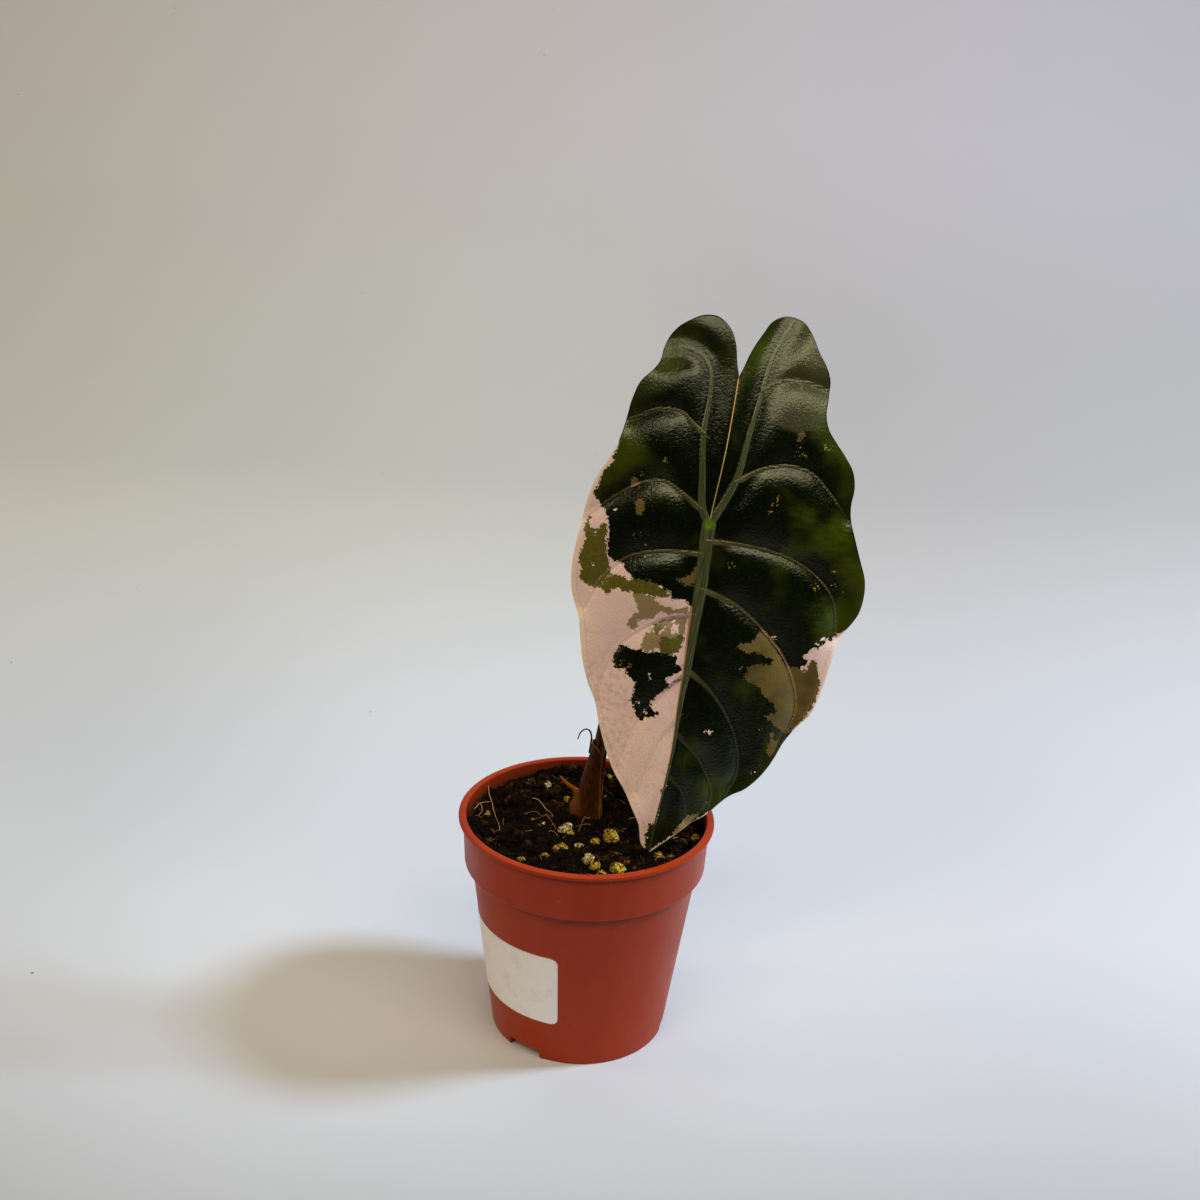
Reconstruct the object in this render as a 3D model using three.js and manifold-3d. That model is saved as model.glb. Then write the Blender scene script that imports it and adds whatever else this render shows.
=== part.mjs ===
// A potted alocasia: one large leaf on its petiole, rooted in a filled 9 cm nursery pot.
// Millimetres, +Z up. The origin is the middle of the pot's foot, on the surface it stands on.
// The leaf faces -Y.

import * as THREE from 'three';
import { mergeVertices } from 'three/addons/utils/BufferGeometryUtils.js';
import Module from 'manifold-3d';

const wasm = await Module();
wasm.setup();

// Clearance between neighbouring pieces, and the distance under which two corners are one.
const GAP = 0.3;
const WELD = 1e-4;
const SEED = 20417;

// Pot: a standard 9 cm plastic nursery pot.
const RIM_RADIUS = 45;
const POT_HEIGHT = 83;
const WALL = 1.1;
const LIP_HEIGHT = 1.6;
const LIP_EDGE = 0.4;
const COLLAR_TOP_RADIUS = 43.4;
const COLLAR_FOOT_RADIUS = 42.6;
const COLLAR_FOOT_Z = 65;
const BODY_TOP_RADIUS = 40;
const FOOT_RADIUS = 31.4;
const FOOT_EDGE = 0.6;
const FOOT_RING_WIDTH = 2.2;
const FLOOR_Z = 4.6;
const FLOOR_THICKNESS = 1.2;
const HUB_RADIUS = 9;
const NOTCH_WIDTH = 13;
const NOTCH_HEIGHT = 3.5;
const NOTCH_ANGLES = [114, 234, 354];
const DRAIN_RADIUS = 3.2;
const DRAIN_CIRCLE_RADIUS = 20;
const DRAIN_COUNT = 6;
const DRAIN_SIDES = 14;
const POT_SIDES = 60;

// Label: a paper sticker on the pot's body.
const LABEL_LENGTH = 54;
const LABEL_BOTTOM_Z = 17.2;
const LABEL_TOP_Z = 46;
const LABEL_THICKNESS = 0.3;
const LABEL_RIGHT_ANGLE = -101.3;
const LABEL_STEPS = 16;

// Potting mix: its level, the heap round the plant, and what is in it.
const SOIL_Z = 76.4;
const HEAP_HEIGHT = 2.6;
const HEAP_RADIUS = 10;
const CRUMB_COUNT = 70;
const CRUMB_HEIGHT = 1.1;
const CRUMB_REACH = 3;
const CRUMB_FIELD_RADIUS = 42;
const SOIL_SIDES = 45;
const SOIL_RINGS = 9;
const GRAIN_MIN = 2;
const GRAIN_MAX = 4.2;
const GRAIN_COUNT = 22;
const GRAIN_FLATNESS = 0.75;
const CHIP_COUNT = 14;
const CHIP_LENGTH = 4;
const CHIP_WIDTH = 2;
const CHIP_THICKNESS = 1.6;
const LOOSE_SINK = 0.2;
const SCATTER_RADIUS = 37;
const PLANT_CLEAR_RADIUS = 12;

// Perlite grains that lie in front of the leaf: [x, y, diameter].
const FRONT_GRAINS = [
  [-15, 29, 3.3], [-7, 17, 3.3], [-7, -2.5, 5.4], [-8.5, -14, 4.6], [9, -6, 6.4], [-2, -12, 3.1],
  [1.5, -21, 4], [3.5, -26.5, 3.6], [6, -32, 3.4], [11, -29, 4.4], [-13.5, -20, 2.8], [25, -16, 3.8],
  [31.5, -3, 2.6], [36, 1, 3.4], [-21.5, -25, 2.6], [3.5, -9, 3.2],
];

// Loose fibres on the soil, as routes of [x, y].
const FIBRE_RADIUS = 0.55;
const FIBRE_STEPS = 6;
const FIBRE_SIDES = 4;
const FIBRES = [
  [[-34.5, 20], [-33.5, 10], [-30.5, -3], [-31.5, -14]],
  [[-20, 14], [-16, 12], [-11, 6]],
  [[-15.5, 6], [-13, 0], [-10.5, -5]],
  [[0.5, 3.5], [0, 0], [-3, -4.5]],
];

// Where the petiole runs, from the top of the rootstock to behind the blade: [x, y, z].
const PLANT_X = 2;
const PLANT_Y = 8;
const PETIOLE_FOOT_Z = 76.8;
const PETIOLE_ROUTE = [
  [PLANT_X, PLANT_Y, PETIOLE_FOOT_Z], [2, 7.6, 90], [3, 6.5, 102], [4.5, 5.5, 115], [7.3, 4.6, 129],
  [11.4, 3.4, 144], [18, 1.4, 162], [26.2, -1.4, 179], [32.6, -4.8, 189.3], [36, -9, 195],
];

// Radius of the petiole at a height: [z, radius].
const PETIOLE_RADII = [[76, 2.8], [90, 2.6], [102, 2.15], [115, 1.9], [145, 1.7], [184, 1.8], [196, 2.6]];
const CUT_ABOVE = 10;
const PETIOLE_SIDES = 12;
const PETIOLE_STEPS = 32;

// Cataphyll: the papery sheath round the petiole's foot. At each height, the angles between
// which it covers the petiole, in degrees: [z, first, last].
const SHEATH_THICKNESS = 0.7;
const SHEATH_COVER = [
  [77, -75, 255], [86, -60, 240], [95, -40, 222], [101, 10, 212], [105, 90, 200], [108, 160, 190],
];
const SHEATH_SIDES = 12;
const SHEATH_STEPS = 13;
const CURL_RADIUS = 0.5;
const CURL_STEPS = 12;
const CURL_SIDES = 5;
const CURL_ROUTE = [
  [-0.15, 6.9, 101], [0.25, 6.9, 105], [0.4, 6.8, 109], [-0.4, 6.8, 111.5], [-1.8, 6.9, 112],
  [-3.4, 7, 110.8], [-4.4, 7, 108],
];

// Old sheath: a swollen stump beside the petiole with a torn flap. [x, y, z, width, depth].
const STUMP_SECTIONS = [
  [-2.5, 7.6, 76.8, 2.4, 2.4], [-3.2, 7.3, 79, 3, 2.9], [-3.4, 7.2, 82, 2.8, 2.7],
  [-3, 7.3, 85, 2.2, 2], [-3.2, 7.3, 87.6, 1.5, 1.4],
];
const FLAP_SECTIONS = [
  [-2.6, 7.3, 85, 1.4, 0.7], [-3.6, 7.1, 88, 1.5, 0.6], [-6, 6.8, 89.7, 1.2, 0.5],
  [-8.3, 6.7, 91.5, 0.9, 0.4], [-10, 6.6, 93.6, 0.4, 0.35],
];
const STUMP_SIDES = 12;
const FLAP_SIDES = 8;

// Rootstock: [z, radius] from its rounded foot to the seat under the petiole.
const ROOTSTOCK_PROFILE = [[47, 1.6], [48.5, 3.8], [53, 5.6], [60, 6.3], [67, 6], [73, 5.6], [76.4, 5.4]];
const ROOT_COUNT = 8;
const ROOT_REACH = 26;
const ROOT_DROP = 30;
const ROOT_RADIUS = 1.5;
const ROOT_TIP_RADIUS = 0.5;
const ROOT_STEPS = 6;
const ROOT_SIDES = 5;
const ROOTSTOCK_SIDES = 14;

// Blade. Its own frame has its origin where the petiole joins it, first axis across to the right,
// second axis up along the midrib, third axis out of its upper face. These two points place it.
const BLADE_JOINT = new THREE.Vector3(35.2, -8, 194);
const BLADE_HANG = new THREE.Vector3(20.7, -24, 82.7);

// The edge, in four stretches: from the tip up either side to where the lobe rib ends, and on over
// each lobe to the notch between the lobes. Each is [across, along].
const TIP = [1.5, -115.5];
const NOTCH = [0.7, 47.7];
const LEFT_RIB_END = [-24, 52];
const RIGHT_RIB_END = [16, 69];
const LEFT_EDGE = [
  TIP, [-1.5, -113], [-3.9, -105.5], [-7.5, -99.5], [-11.5, -93.5], [-16, -88], [-19, -82.5],
  [-23.3, -73], [-25.5, -67], [-29, -61], [-32, -54], [-34, -47], [-36, -39.5], [-39.5, -32],
  [-41, -24], [-41, -16], [-40.4, -8], [-39.6, 1], [-38, 8], [-33.7, 18.7], [-32, 27], [-31.2, 35],
  [-29.5, 41], [-26, 45.5], [-24.3, 48.7], LEFT_RIB_END,
];
const LEFT_LOBE = [
  LEFT_RIB_END, [-22.9, 56], [-20.5, 60], [-17, 63], [-13.5, 65], [-9.6, 65.5], [-6.8, 64.3],
  [-4, 61.7], [-2, 57.5], [-0.8, 52.5], NOTCH,
];
const RIGHT_EDGE = [
  TIP, [4.7, -112], [8.7, -107], [13.5, -102], [18.5, -98], [21.5, -94], [25, -90.5], [29.2, -87.7],
  [32.7, -83.5], [35.3, -79], [40, -68], [43, -63], [46, -59], [48.4, -49], [49.5, -40],
  [50.7, -31.5], [53.5, -26.5], [55.4, -22], [55.8, -16], [54.8, -10.5], [52.5, -5.5], [49.4, 1],
  [46.5, 7.5], [45.2, 13], [45, 19], [43.4, 24], [40.5, 27.8], [36, 32.5], [32.6, 36.5], [31, 41],
  [31, 46], [30.7, 51], [28.6, 55.5], [25.5, 59.5], [21.7, 65.5], [19, 68.2], RIGHT_RIB_END,
];
const RIGHT_LOBE = [
  RIGHT_RIB_END, [13.5, 69], [10.7, 68], [8.3, 66], [6.7, 63], [4.7, 59.2], [3, 55], [1.8, 51], NOTCH,
];

// The ribs, and the side veins that start from them.
const JOINT = [0, 0];
const MIDRIB = [
  TIP, [1.5, -104], [2.2, -90], [2.5, -76], [2, -62], [2, -48], [1.5, -34], [1.2, -20], [0.3, -8], JOINT,
];
const LEFT_RIB = [
  JOINT, [-3, 4.5], [-5, 15], [-7, 28], [-7.2, 41], [-9, 49.5], [-13, 53.2], [-18.5, 54], LEFT_RIB_END,
];
const RIGHT_RIB = [
  JOINT, [2.5, 5.5], [6, 16], [7.3, 29], [9, 43], [10.8, 56], [13.5, 63.4], RIGHT_RIB_END,
];
const SUTURE = [JOINT, [0.8, 24], NOTCH];
const SIDE_VEINS = [
  [[-7, 28.5], [-11, 31], [-15, 33.8], [-22, 33.5], [-31, 28]],
  [[-3, 4], [-11, 8.7], [-17, 11], [-25, 8], [-40, -6.5]],
  [[0, -10], [-13, -11.6], [-24, -16.3], [-31.5, -26], [-35, -36]],
  [[1, -30.5], [-10, -34.5], [-21, -45], [-25.3, -58], [-25, -68]],
  [[2, -50.5], [-3.5, -57], [-11.5, -70], [-15.5, -88]],
  [[2.4, -66], [-3, -74.5], [-7, -94]],
  [[9, 44.5], [13, 47.8], [20, 50], [30.5, 48.5]],
  [[6, 15], [14, 20.5], [22, 22.7], [30, 21.5], [38, 15.5], [45, 8.5]],
  [[0.5, -5.5], [12.6, -5], [26.7, -6.6], [38.3, -11.6], [46, -19], [49.5, -31]],
  [[1.3, -21.5], [13, -24.7], [25, -32.5], [35, -42.6], [41, -57], [38.5, -70]],
  [[2, -49], [12, -56], [21.7, -68.6], [25.4, -81.5], [23, -91]],
  [[2.4, -71], [12, -79.5], [18, -90], [18, -97]],
  [[2.2, -86.5], [8, -91], [11.5, -101]],
];

// How the blade is bent: each half falls back from the midrib, and both ends bend back.
const FALL_LEFT = 24;
const FALL_RIGHT = 12;
const RIDGE_ROUNDING = 14;
const TOP_BEND_START = 12;
const TOP_BEND_RADIUS = 130;
const LOW_BEND_START = -60;
const LOW_BEND_RADIUS = 420;

// How it swells between the veins, and its thickness with the ribs on its underside.
const SWELL_HEIGHT = 3;
const SWELL_REACH = 6;
const RIB_HALF_WIDTH = 2.4;
const BLADE_THICKNESS = 0.9;
const MIDRIB_DEPTH = 2;
const LOBE_RIB_DEPTH = 1.5;
const RIB_REACH = 4;

// Mesh of the blade: steps along the midrib, along a lobe rib before and after the notch, and
// across from the ribs to the edge.
const MIDRIB_STEPS = 32;
const SUTURE_STEPS = 12;
const LOBE_STEPS = 10;
const OUTER_STEPS = 9;
const INNER_STEPS = 3;
const RIB_SAMPLES = 120;
const VEIN_SAMPLES = 72;

// Colours.
const TERRACOTTA = 0x8a3a24;
const LABEL_WHITE = 0xcfc6bb;
const SOIL_DARK = 0x2a211b;
const ROOT_CREAM = 0xb79a6c;
const PETIOLE_BROWN = 0x5a3216;
const SHEATH_ORANGE = 0x9a5218;
const LEAF_GREEN = 0x22330f;

function radians(degrees) {
  return THREE.MathUtils.degToRad(degrees);
}

// A repeatable stream of numbers from 0 to 1.
function randomStream(seed) {
  let state = seed;
  return () => {
    state = (state + 0x6d2b79f5) | 0;
    let mixed = Math.imul(state ^ (state >>> 15), 1 | state);
    mixed = (mixed + Math.imul(mixed ^ (mixed >>> 7), 61 | mixed)) ^ mixed;
    return ((mixed ^ (mixed >>> 14)) >>> 0) / 4294967296;
  };
}

// Value at x of a line through [x, value] pairs, held level past its ends.
function interpolate(pairs, x, column = 1) {
  if (x <= pairs[0][0]) return pairs[0][column];
  for (let i = 1; i < pairs.length; i += 1) {
    if (x <= pairs[i][0]) {
      const part = (x - pairs[i - 1][0]) / (pairs[i][0] - pairs[i - 1][0]);
      return THREE.MathUtils.lerp(pairs[i - 1][column], pairs[i][column], part);
    }
  }
  return pairs[pairs.length - 1][column];
}

function smoothCurve(points) {
  const vectors = points.map(([x, y, z = 0]) => new THREE.Vector3(x, y, z));
  return new THREE.CatmullRomCurve3(vectors, false, 'centripetal');
}

// A geometry from triangles, each three THREE.Vector3.
function geometryOf(triangles) {
  const positions = [];
  for (const triangle of triangles) {
    for (const corner of triangle) positions.push(corner.x, corner.y, corner.z);
  }
  const geometry = new THREE.BufferGeometry();
  geometry.setAttribute('position', new THREE.Float32BufferAttribute(positions, 3));
  return geometry;
}

// The same geometry with shared corners and without triangles that have lost their area.
function welded(geometry) {
  const bare = geometry.clone();
  bare.deleteAttribute('normal');
  bare.deleteAttribute('uv');
  const merged = mergeVertices(bare, WELD);
  const kept = [];
  const index = merged.index.array;
  for (let i = 0; i < index.length; i += 3) {
    const [a, b, c] = [index[i], index[i + 1], index[i + 2]];
    if (a !== b && b !== c && c !== a) kept.push(a, b, c);
  }
  merged.setIndex(kept);
  return merged;
}

function toSolid(geometry) {
  const mesh = welded(geometry);
  const vertProperties = new Float32Array(mesh.attributes.position.array);
  const triVerts = new Uint32Array(mesh.index.array);
  return new wasm.Manifold(new wasm.Mesh({ numProp: 3, vertProperties, triVerts }));
}

function toGeometry(solid) {
  const mesh = solid.getMesh();
  const geometry = new THREE.BufferGeometry();
  geometry.setAttribute('position', new THREE.BufferAttribute(mesh.vertProperties, 3));
  geometry.setIndex(new THREE.BufferAttribute(mesh.triVerts, 1));
  return geometry;
}

function joined(solids) {
  return solids.reduce((whole, solid) => whole.add(solid));
}

// A closed solid through rings of equally many points, each ring seen from its end going
// anticlockwise, with a fan over the first and the last.
function loft(rings) {
  const triangles = [];
  const sides = rings[0].length;
  const middle = (ring) => {
    const sum = ring.reduce((total, point) => total.add(point), new THREE.Vector3());
    return sum.divideScalar(ring.length);
  };
  const first = middle(rings[0]);
  const last = middle(rings[rings.length - 1]);
  for (let side = 0; side < sides; side += 1) {
    const next = (side + 1) % sides;
    for (let i = 0; i + 1 < rings.length; i += 1) {
      const [low, high] = [rings[i], rings[i + 1]];
      triangles.push([low[side], low[next], high[next]], [low[side], high[next], high[side]]);
    }
    triangles.push([first, rings[0][next], rings[0][side]]);
    triangles.push([last, rings[rings.length - 1][side], rings[rings.length - 1][next]]);
  }
  return geometryOf(triangles);
}

function levelRing(x, y, radius, heightAt, sides) {
  const ring = [];
  for (let i = 0; i < sides; i += 1) {
    const angle = (2 * Math.PI * i) / sides;
    const point = new THREE.Vector3(x + radius * Math.cos(angle), y + radius * Math.sin(angle), 0);
    point.z = heightAt(point.x, point.y);
    ring.push(point);
  }
  return ring;
}

// A solid rod along a curve. radiusAt gets the point on the curve and how far along it lies.
function rod(curve, radiusAt, steps, sides) {
  const frames = curve.computeFrenetFrames(steps, false);
  const rings = [];
  for (let i = 0; i <= steps; i += 1) {
    const centre = curve.getPointAt(i / steps);
    const radius = radiusAt(centre, i / steps);
    const ring = [];
    for (let side = 0; side < sides; side += 1) {
      const angle = (2 * Math.PI * side) / sides;
      const point = centre.clone();
      point.addScaledVector(frames.normals[i], radius * Math.cos(angle));
      point.addScaledVector(frames.binormals[i], radius * Math.sin(angle));
      ring.push(point);
    }
    rings.push(ring);
  }
  return loft(rings);
}

// A thin closed sheet. pointAt(u, v, face) gives its corners on face 0 and face 1, with face 1 the
// one that u and v turn anticlockwise round.
function sheet(pointAt, uSteps, vSteps) {
  const triangles = [];
  const corner = (i, j, face) => pointAt(i / uSteps, j / vSteps, face);
  for (let i = 0; i < uSteps; i += 1) {
    for (let j = 0; j < vSteps; j += 1) {
      for (const face of [0, 1]) {
        const quad = [corner(i, j, face), corner(i + 1, j, face)];
        quad.push(corner(i + 1, j + 1, face), corner(i, j + 1, face));
        if (face === 0) quad.reverse();
        if (face === 0) triangles.push([quad[0], quad[1], quad[3]], [quad[1], quad[2], quad[3]]);
        else triangles.push([quad[0], quad[1], quad[2]], [quad[0], quad[2], quad[3]]);
      }
    }
  }
  const border = [];
  for (let i = 0; i < uSteps; i += 1) border.push([i, 0]);
  for (let j = 0; j < vSteps; j += 1) border.push([uSteps, j]);
  for (let i = uSteps; i > 0; i -= 1) border.push([i, vSteps]);
  for (let j = vSteps; j > 0; j -= 1) border.push([0, j]);
  border.forEach(([i, j], at) => {
    const [nextI, nextJ] = border[(at + 1) % border.length];
    const quad = [corner(i, j, 1), corner(i, j, 0), corner(nextI, nextJ, 0), corner(nextI, nextJ, 1)];
    triangles.push([quad[0], quad[1], quad[2]], [quad[0], quad[2], quad[3]]);
  });
  return geometryOf(triangles);
}

// Outer radius of the pot's body at a height.
function bodyRadius(z) {
  return THREE.MathUtils.lerp(FOOT_RADIUS, BODY_TOP_RADIUS, z / COLLAR_FOOT_Z);
}

// Inner radius of the pot at a height.
function insideRadius(z) {
  if (z <= COLLAR_FOOT_Z) return bodyRadius(z) - WALL;
  const part = (z - COLLAR_FOOT_Z) / (POT_HEIGHT - LIP_HEIGHT - COLLAR_FOOT_Z);
  return THREE.MathUtils.lerp(COLLAR_FOOT_RADIUS, COLLAR_TOP_RADIUS, Math.min(part, 1)) - WALL;
}

function potGeometry() {
  const floorTop = FLOOR_Z + FLOOR_THICKNESS;
  const hubTop = FLOOR_THICKNESS;
  const lipFoot = POT_HEIGHT - LIP_HEIGHT;
  const ringInside = FOOT_RADIUS - FOOT_RING_WIDTH;
  const profile = [
    [0, 0], [HUB_RADIUS, 0], [HUB_RADIUS + FOOT_EDGE, FLOOR_Z], [ringInside, FLOOR_Z], [ringInside, 0],
    [FOOT_RADIUS - FOOT_EDGE, 0], [bodyRadius(FOOT_EDGE), FOOT_EDGE],
    [BODY_TOP_RADIUS, COLLAR_FOOT_Z - WALL], [COLLAR_FOOT_RADIUS - LIP_EDGE, COLLAR_FOOT_Z],
    [COLLAR_FOOT_RADIUS, COLLAR_FOOT_Z + LIP_EDGE], [COLLAR_TOP_RADIUS, lipFoot - LIP_EDGE],
    [RIM_RADIUS, lipFoot], [RIM_RADIUS, POT_HEIGHT - LIP_EDGE], [RIM_RADIUS - LIP_EDGE, POT_HEIGHT],
    [insideRadius(lipFoot) + LIP_EDGE, POT_HEIGHT], [insideRadius(lipFoot), lipFoot],
    [insideRadius(COLLAR_FOOT_Z + WALL), COLLAR_FOOT_Z + WALL],
    [insideRadius(COLLAR_FOOT_Z - WALL), COLLAR_FOOT_Z - WALL],
    [insideRadius(floorTop), floorTop], [HUB_RADIUS - FLOOR_THICKNESS, floorTop],
    [HUB_RADIUS - FLOOR_THICKNESS - FOOT_EDGE, hubTop], [0, hubTop],
  ];
  const points = profile.map(([radius, z]) => new THREE.Vector2(radius, z));
  return new THREE.LatheGeometry(points, POT_SIDES).rotateX(Math.PI / 2);
}

function notchCutter(angle) {
  const depth = 3 * FOOT_RING_WIDTH;
  const box = new THREE.BoxGeometry(depth, NOTCH_WIDTH, 2 * NOTCH_HEIGHT);
  box.translate(FOOT_RADIUS, 0, 0);
  box.rotateZ(radians(angle));
  return toSolid(box);
}

function drainCutter(angle) {
  const height = 3 * FLOOR_THICKNESS;
  const drain = new THREE.CylinderGeometry(DRAIN_RADIUS, DRAIN_RADIUS, height, DRAIN_SIDES);
  drain.rotateX(Math.PI / 2);
  drain.translate(DRAIN_CIRCLE_RADIUS, 0, FLOOR_Z + FLOOR_THICKNESS / 2);
  drain.rotateZ(radians(angle));
  return toSolid(drain);
}

function makePot() {
  const cutters = NOTCH_ANGLES.map(notchCutter);
  for (let i = 0; i < DRAIN_COUNT; i += 1) cutters.push(drainCutter((360 * i) / DRAIN_COUNT));
  return toGeometry(toSolid(potGeometry()).subtract(joined(cutters)));
}

// The sticker follows the pot's body, clear of it by the gap.
function makeLabel() {
  const middleRadius = bodyRadius((LABEL_BOTTOM_Z + LABEL_TOP_Z) / 2);
  const turn = LABEL_LENGTH / middleRadius;
  const right = radians(LABEL_RIGHT_ANGLE);
  const pointAt = (u, v, face) => {
    const angle = right - turn * (1 - u);
    const z = THREE.MathUtils.lerp(LABEL_BOTTOM_Z, LABEL_TOP_Z, v);
    const radius = bodyRadius(z) + GAP + face * LABEL_THICKNESS;
    return new THREE.Vector3(radius * Math.cos(angle), radius * Math.sin(angle), z);
  };
  return sheet(pointAt, LABEL_STEPS, 1);
}

// Height of the potting mix at a place: a low heap round the plant, and crumbs all over.
const crumbs = (() => {
  const random = randomStream(SEED);
  const list = [];
  for (let i = 0; i < CRUMB_COUNT; i += 1) {
    const radius = CRUMB_FIELD_RADIUS * Math.sqrt(random());
    const angle = 2 * Math.PI * random();
    const height = CRUMB_HEIGHT * (2 * random() - 1);
    const reach = CRUMB_REACH * (1 + random());
    list.push([radius * Math.cos(angle), radius * Math.sin(angle), height, reach]);
  }
  return list;
})();

function soilHeight(x, y) {
  const fromPlant = Math.hypot(x - PLANT_X, y - PLANT_Y);
  let z = SOIL_Z + HEAP_HEIGHT * Math.exp(-((fromPlant / HEAP_RADIUS) ** 2));
  for (const [crumbX, crumbY, height, reach] of crumbs) {
    z += height * Math.exp(-((Math.hypot(x - crumbX, y - crumbY) / reach) ** 2));
  }
  return z;
}

function soilBody() {
  const bottom = FLOOR_Z + FLOOR_THICKNESS + GAP;
  const hubBottom = FLOOR_THICKNESS + GAP;
  const hubRadius = HUB_RADIUS - FLOOR_THICKNESS - FOOT_EDGE - GAP;
  const level = (z) => () => z;
  const side = (z) => levelRing(0, 0, insideRadius(z) - GAP, level(z), SOIL_SIDES);
  const rings = [
    levelRing(0, 0, hubRadius, level(hubBottom), SOIL_SIDES),
    levelRing(0, 0, hubRadius, level(bottom), SOIL_SIDES),
    side(bottom), side(COLLAR_FOOT_Z - WALL), side(COLLAR_FOOT_Z + 2 * WALL),
  ];
  const topRadius = insideRadius(SOIL_Z) - GAP;
  for (let i = 0; i < SOIL_RINGS; i += 1) {
    const radius = topRadius * (1 - i / SOIL_RINGS);
    rings.push(levelRing(0, 0, radius, soilHeight, SOIL_SIDES));
  }
  return toSolid(loft(rings));
}

// A rough grain, sunk by two fifths into the mix.
function grain(x, y, diameter, random) {
  const lump = new THREE.IcosahedronGeometry(diameter / 2, 0);
  lump.scale(1.1, 0.8 + 0.3 * random(), GRAIN_FLATNESS);
  lump.rotateX(0.6 * random());
  lump.rotateZ(2 * Math.PI * random());
  lump.translate(x, y, soilHeight(x, y) + 0.1 * diameter);
  return toSolid(lump);
}

function chip(x, y, random) {
  const length = CHIP_LENGTH * (1 + 0.75 * random());
  const width = CHIP_WIDTH * (1 + 0.75 * random());
  const bark = new THREE.BoxGeometry(length, width, CHIP_THICKNESS);
  bark.rotateX(0.5 * (random() - 0.5));
  bark.rotateY(0.7 * (random() - 0.5));
  bark.rotateZ(2 * Math.PI * random());
  bark.translate(x, y, soilHeight(x, y) + LOOSE_SINK);
  return toSolid(bark);
}

// A place on the soil away from the plant and the wall.
function scatteredPlace(random) {
  for (;;) {
    const radius = SCATTER_RADIUS * Math.sqrt(random());
    const angle = 2 * Math.PI * random();
    const place = [radius * Math.cos(angle), radius * Math.sin(angle)];
    if (Math.hypot(place[0] - PLANT_X, place[1] - PLANT_Y) > PLANT_CLEAR_RADIUS) return place;
  }
}

function fibre(route) {
  const points = route.map(([x, y]) => [x, y, soilHeight(x, y) + LOOSE_SINK]);
  return toSolid(rod(smoothCurve(points), () => FIBRE_RADIUS, FIBRE_STEPS, FIBRE_SIDES));
}

function makeSoil() {
  const random = randomStream(SEED + 1);
  const lumps = FRONT_GRAINS.map(([x, y, size]) => grain(x, y, size, random));
  for (let i = 0; i < GRAIN_COUNT; i += 1) {
    const [x, y] = scatteredPlace(random);
    lumps.push(grain(x, y, THREE.MathUtils.lerp(GRAIN_MIN, GRAIN_MAX, random()), random));
  }
  for (let i = 0; i < CHIP_COUNT; i += 1) {
    const [x, y] = scatteredPlace(random);
    lumps.push(chip(x, y, random));
  }
  lumps.push(...FIBRES.map(fibre));
  const filled = joined([soilBody(), ...lumps]);
  const sheathSpace = petioleSolid(2 * GAP + SHEATH_THICKNESS);
  const hollow = joined([rootstockSolid(GAP), sheathSpace, stumpSolid(GAP)]);
  return toGeometry(filled.subtract(hollow));
}

// The petiole, made thicker all round by extra.
function petioleSolid(extra) {
  const curve = smoothCurve(PETIOLE_ROUTE);
  const radiusAt = (point) => interpolate(PETIOLE_RADII, point.z) + extra;
  return toSolid(rod(curve, radiusAt, PETIOLE_STEPS, PETIOLE_SIDES));
}

// Centre of the petiole at a height.
const petioleLine = smoothCurve(PETIOLE_ROUTE);

function petioleCentre(z) {
  let low = 0;
  let high = 1;
  for (let i = 0; i < 30; i += 1) {
    const middle = (low + high) / 2;
    if (petioleLine.getPoint(middle).z < z) low = middle;
    else high = middle;
  }
  return petioleLine.getPoint(low);
}

// Its top end fits the blade's underside, clear of it by the gap.
function makePetiole() {
  const clearance = bladeGeometry(CUT_ABOVE, GAP).applyMatrix4(bladeMatrix());
  return toGeometry(petioleSolid(0).subtract(toSolid(clearance)));
}

function cataphyllWrap() {
  const foot = SHEATH_COVER[0][0];
  const top = SHEATH_COVER[SHEATH_COVER.length - 1][0];
  const pointAt = (u, v, face) => {
    const z = THREE.MathUtils.lerp(foot, top, v);
    const first = interpolate(SHEATH_COVER, z, 1);
    const last = interpolate(SHEATH_COVER, z, 2);
    const angle = radians(THREE.MathUtils.lerp(first, last, u));
    const centre = petioleCentre(z);
    const radius = interpolate(PETIOLE_RADII, z) + GAP + face * SHEATH_THICKNESS;
    return new THREE.Vector3(centre.x + radius * Math.cos(angle), centre.y + radius * Math.sin(angle), z);
  };
  return toSolid(sheet(pointAt, SHEATH_SIDES, SHEATH_STEPS));
}

function makeCataphyll() {
  const curl = toSolid(rod(smoothCurve(CURL_ROUTE), () => CURL_RADIUS, CURL_STEPS, CURL_SIDES));
  return toGeometry(cataphyllWrap().add(curl));
}

// An upright solid through oval sections of [x, y, z, width, depth].
function ovalLoft(sections, extra, sides) {
  const rings = sections.map(([x, y, z, width, depth]) => {
    const ring = [];
    for (let i = 0; i < sides; i += 1) {
      const angle = (2 * Math.PI * i) / sides;
      const across = (width + extra) * Math.cos(angle);
      ring.push(new THREE.Vector3(x + across, y + (depth + extra) * Math.sin(angle), z));
    }
    return ring;
  });
  return toSolid(loft(rings));
}

function stumpSolid(extra) {
  return ovalLoft(STUMP_SECTIONS, extra, STUMP_SIDES);
}

function makeOldSheath() {
  const stump = stumpSolid(0).add(ovalLoft(FLAP_SECTIONS, 0, FLAP_SIDES));
  return toGeometry(stump.subtract(petioleSolid(2 * GAP + SHEATH_THICKNESS)));
}

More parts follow.
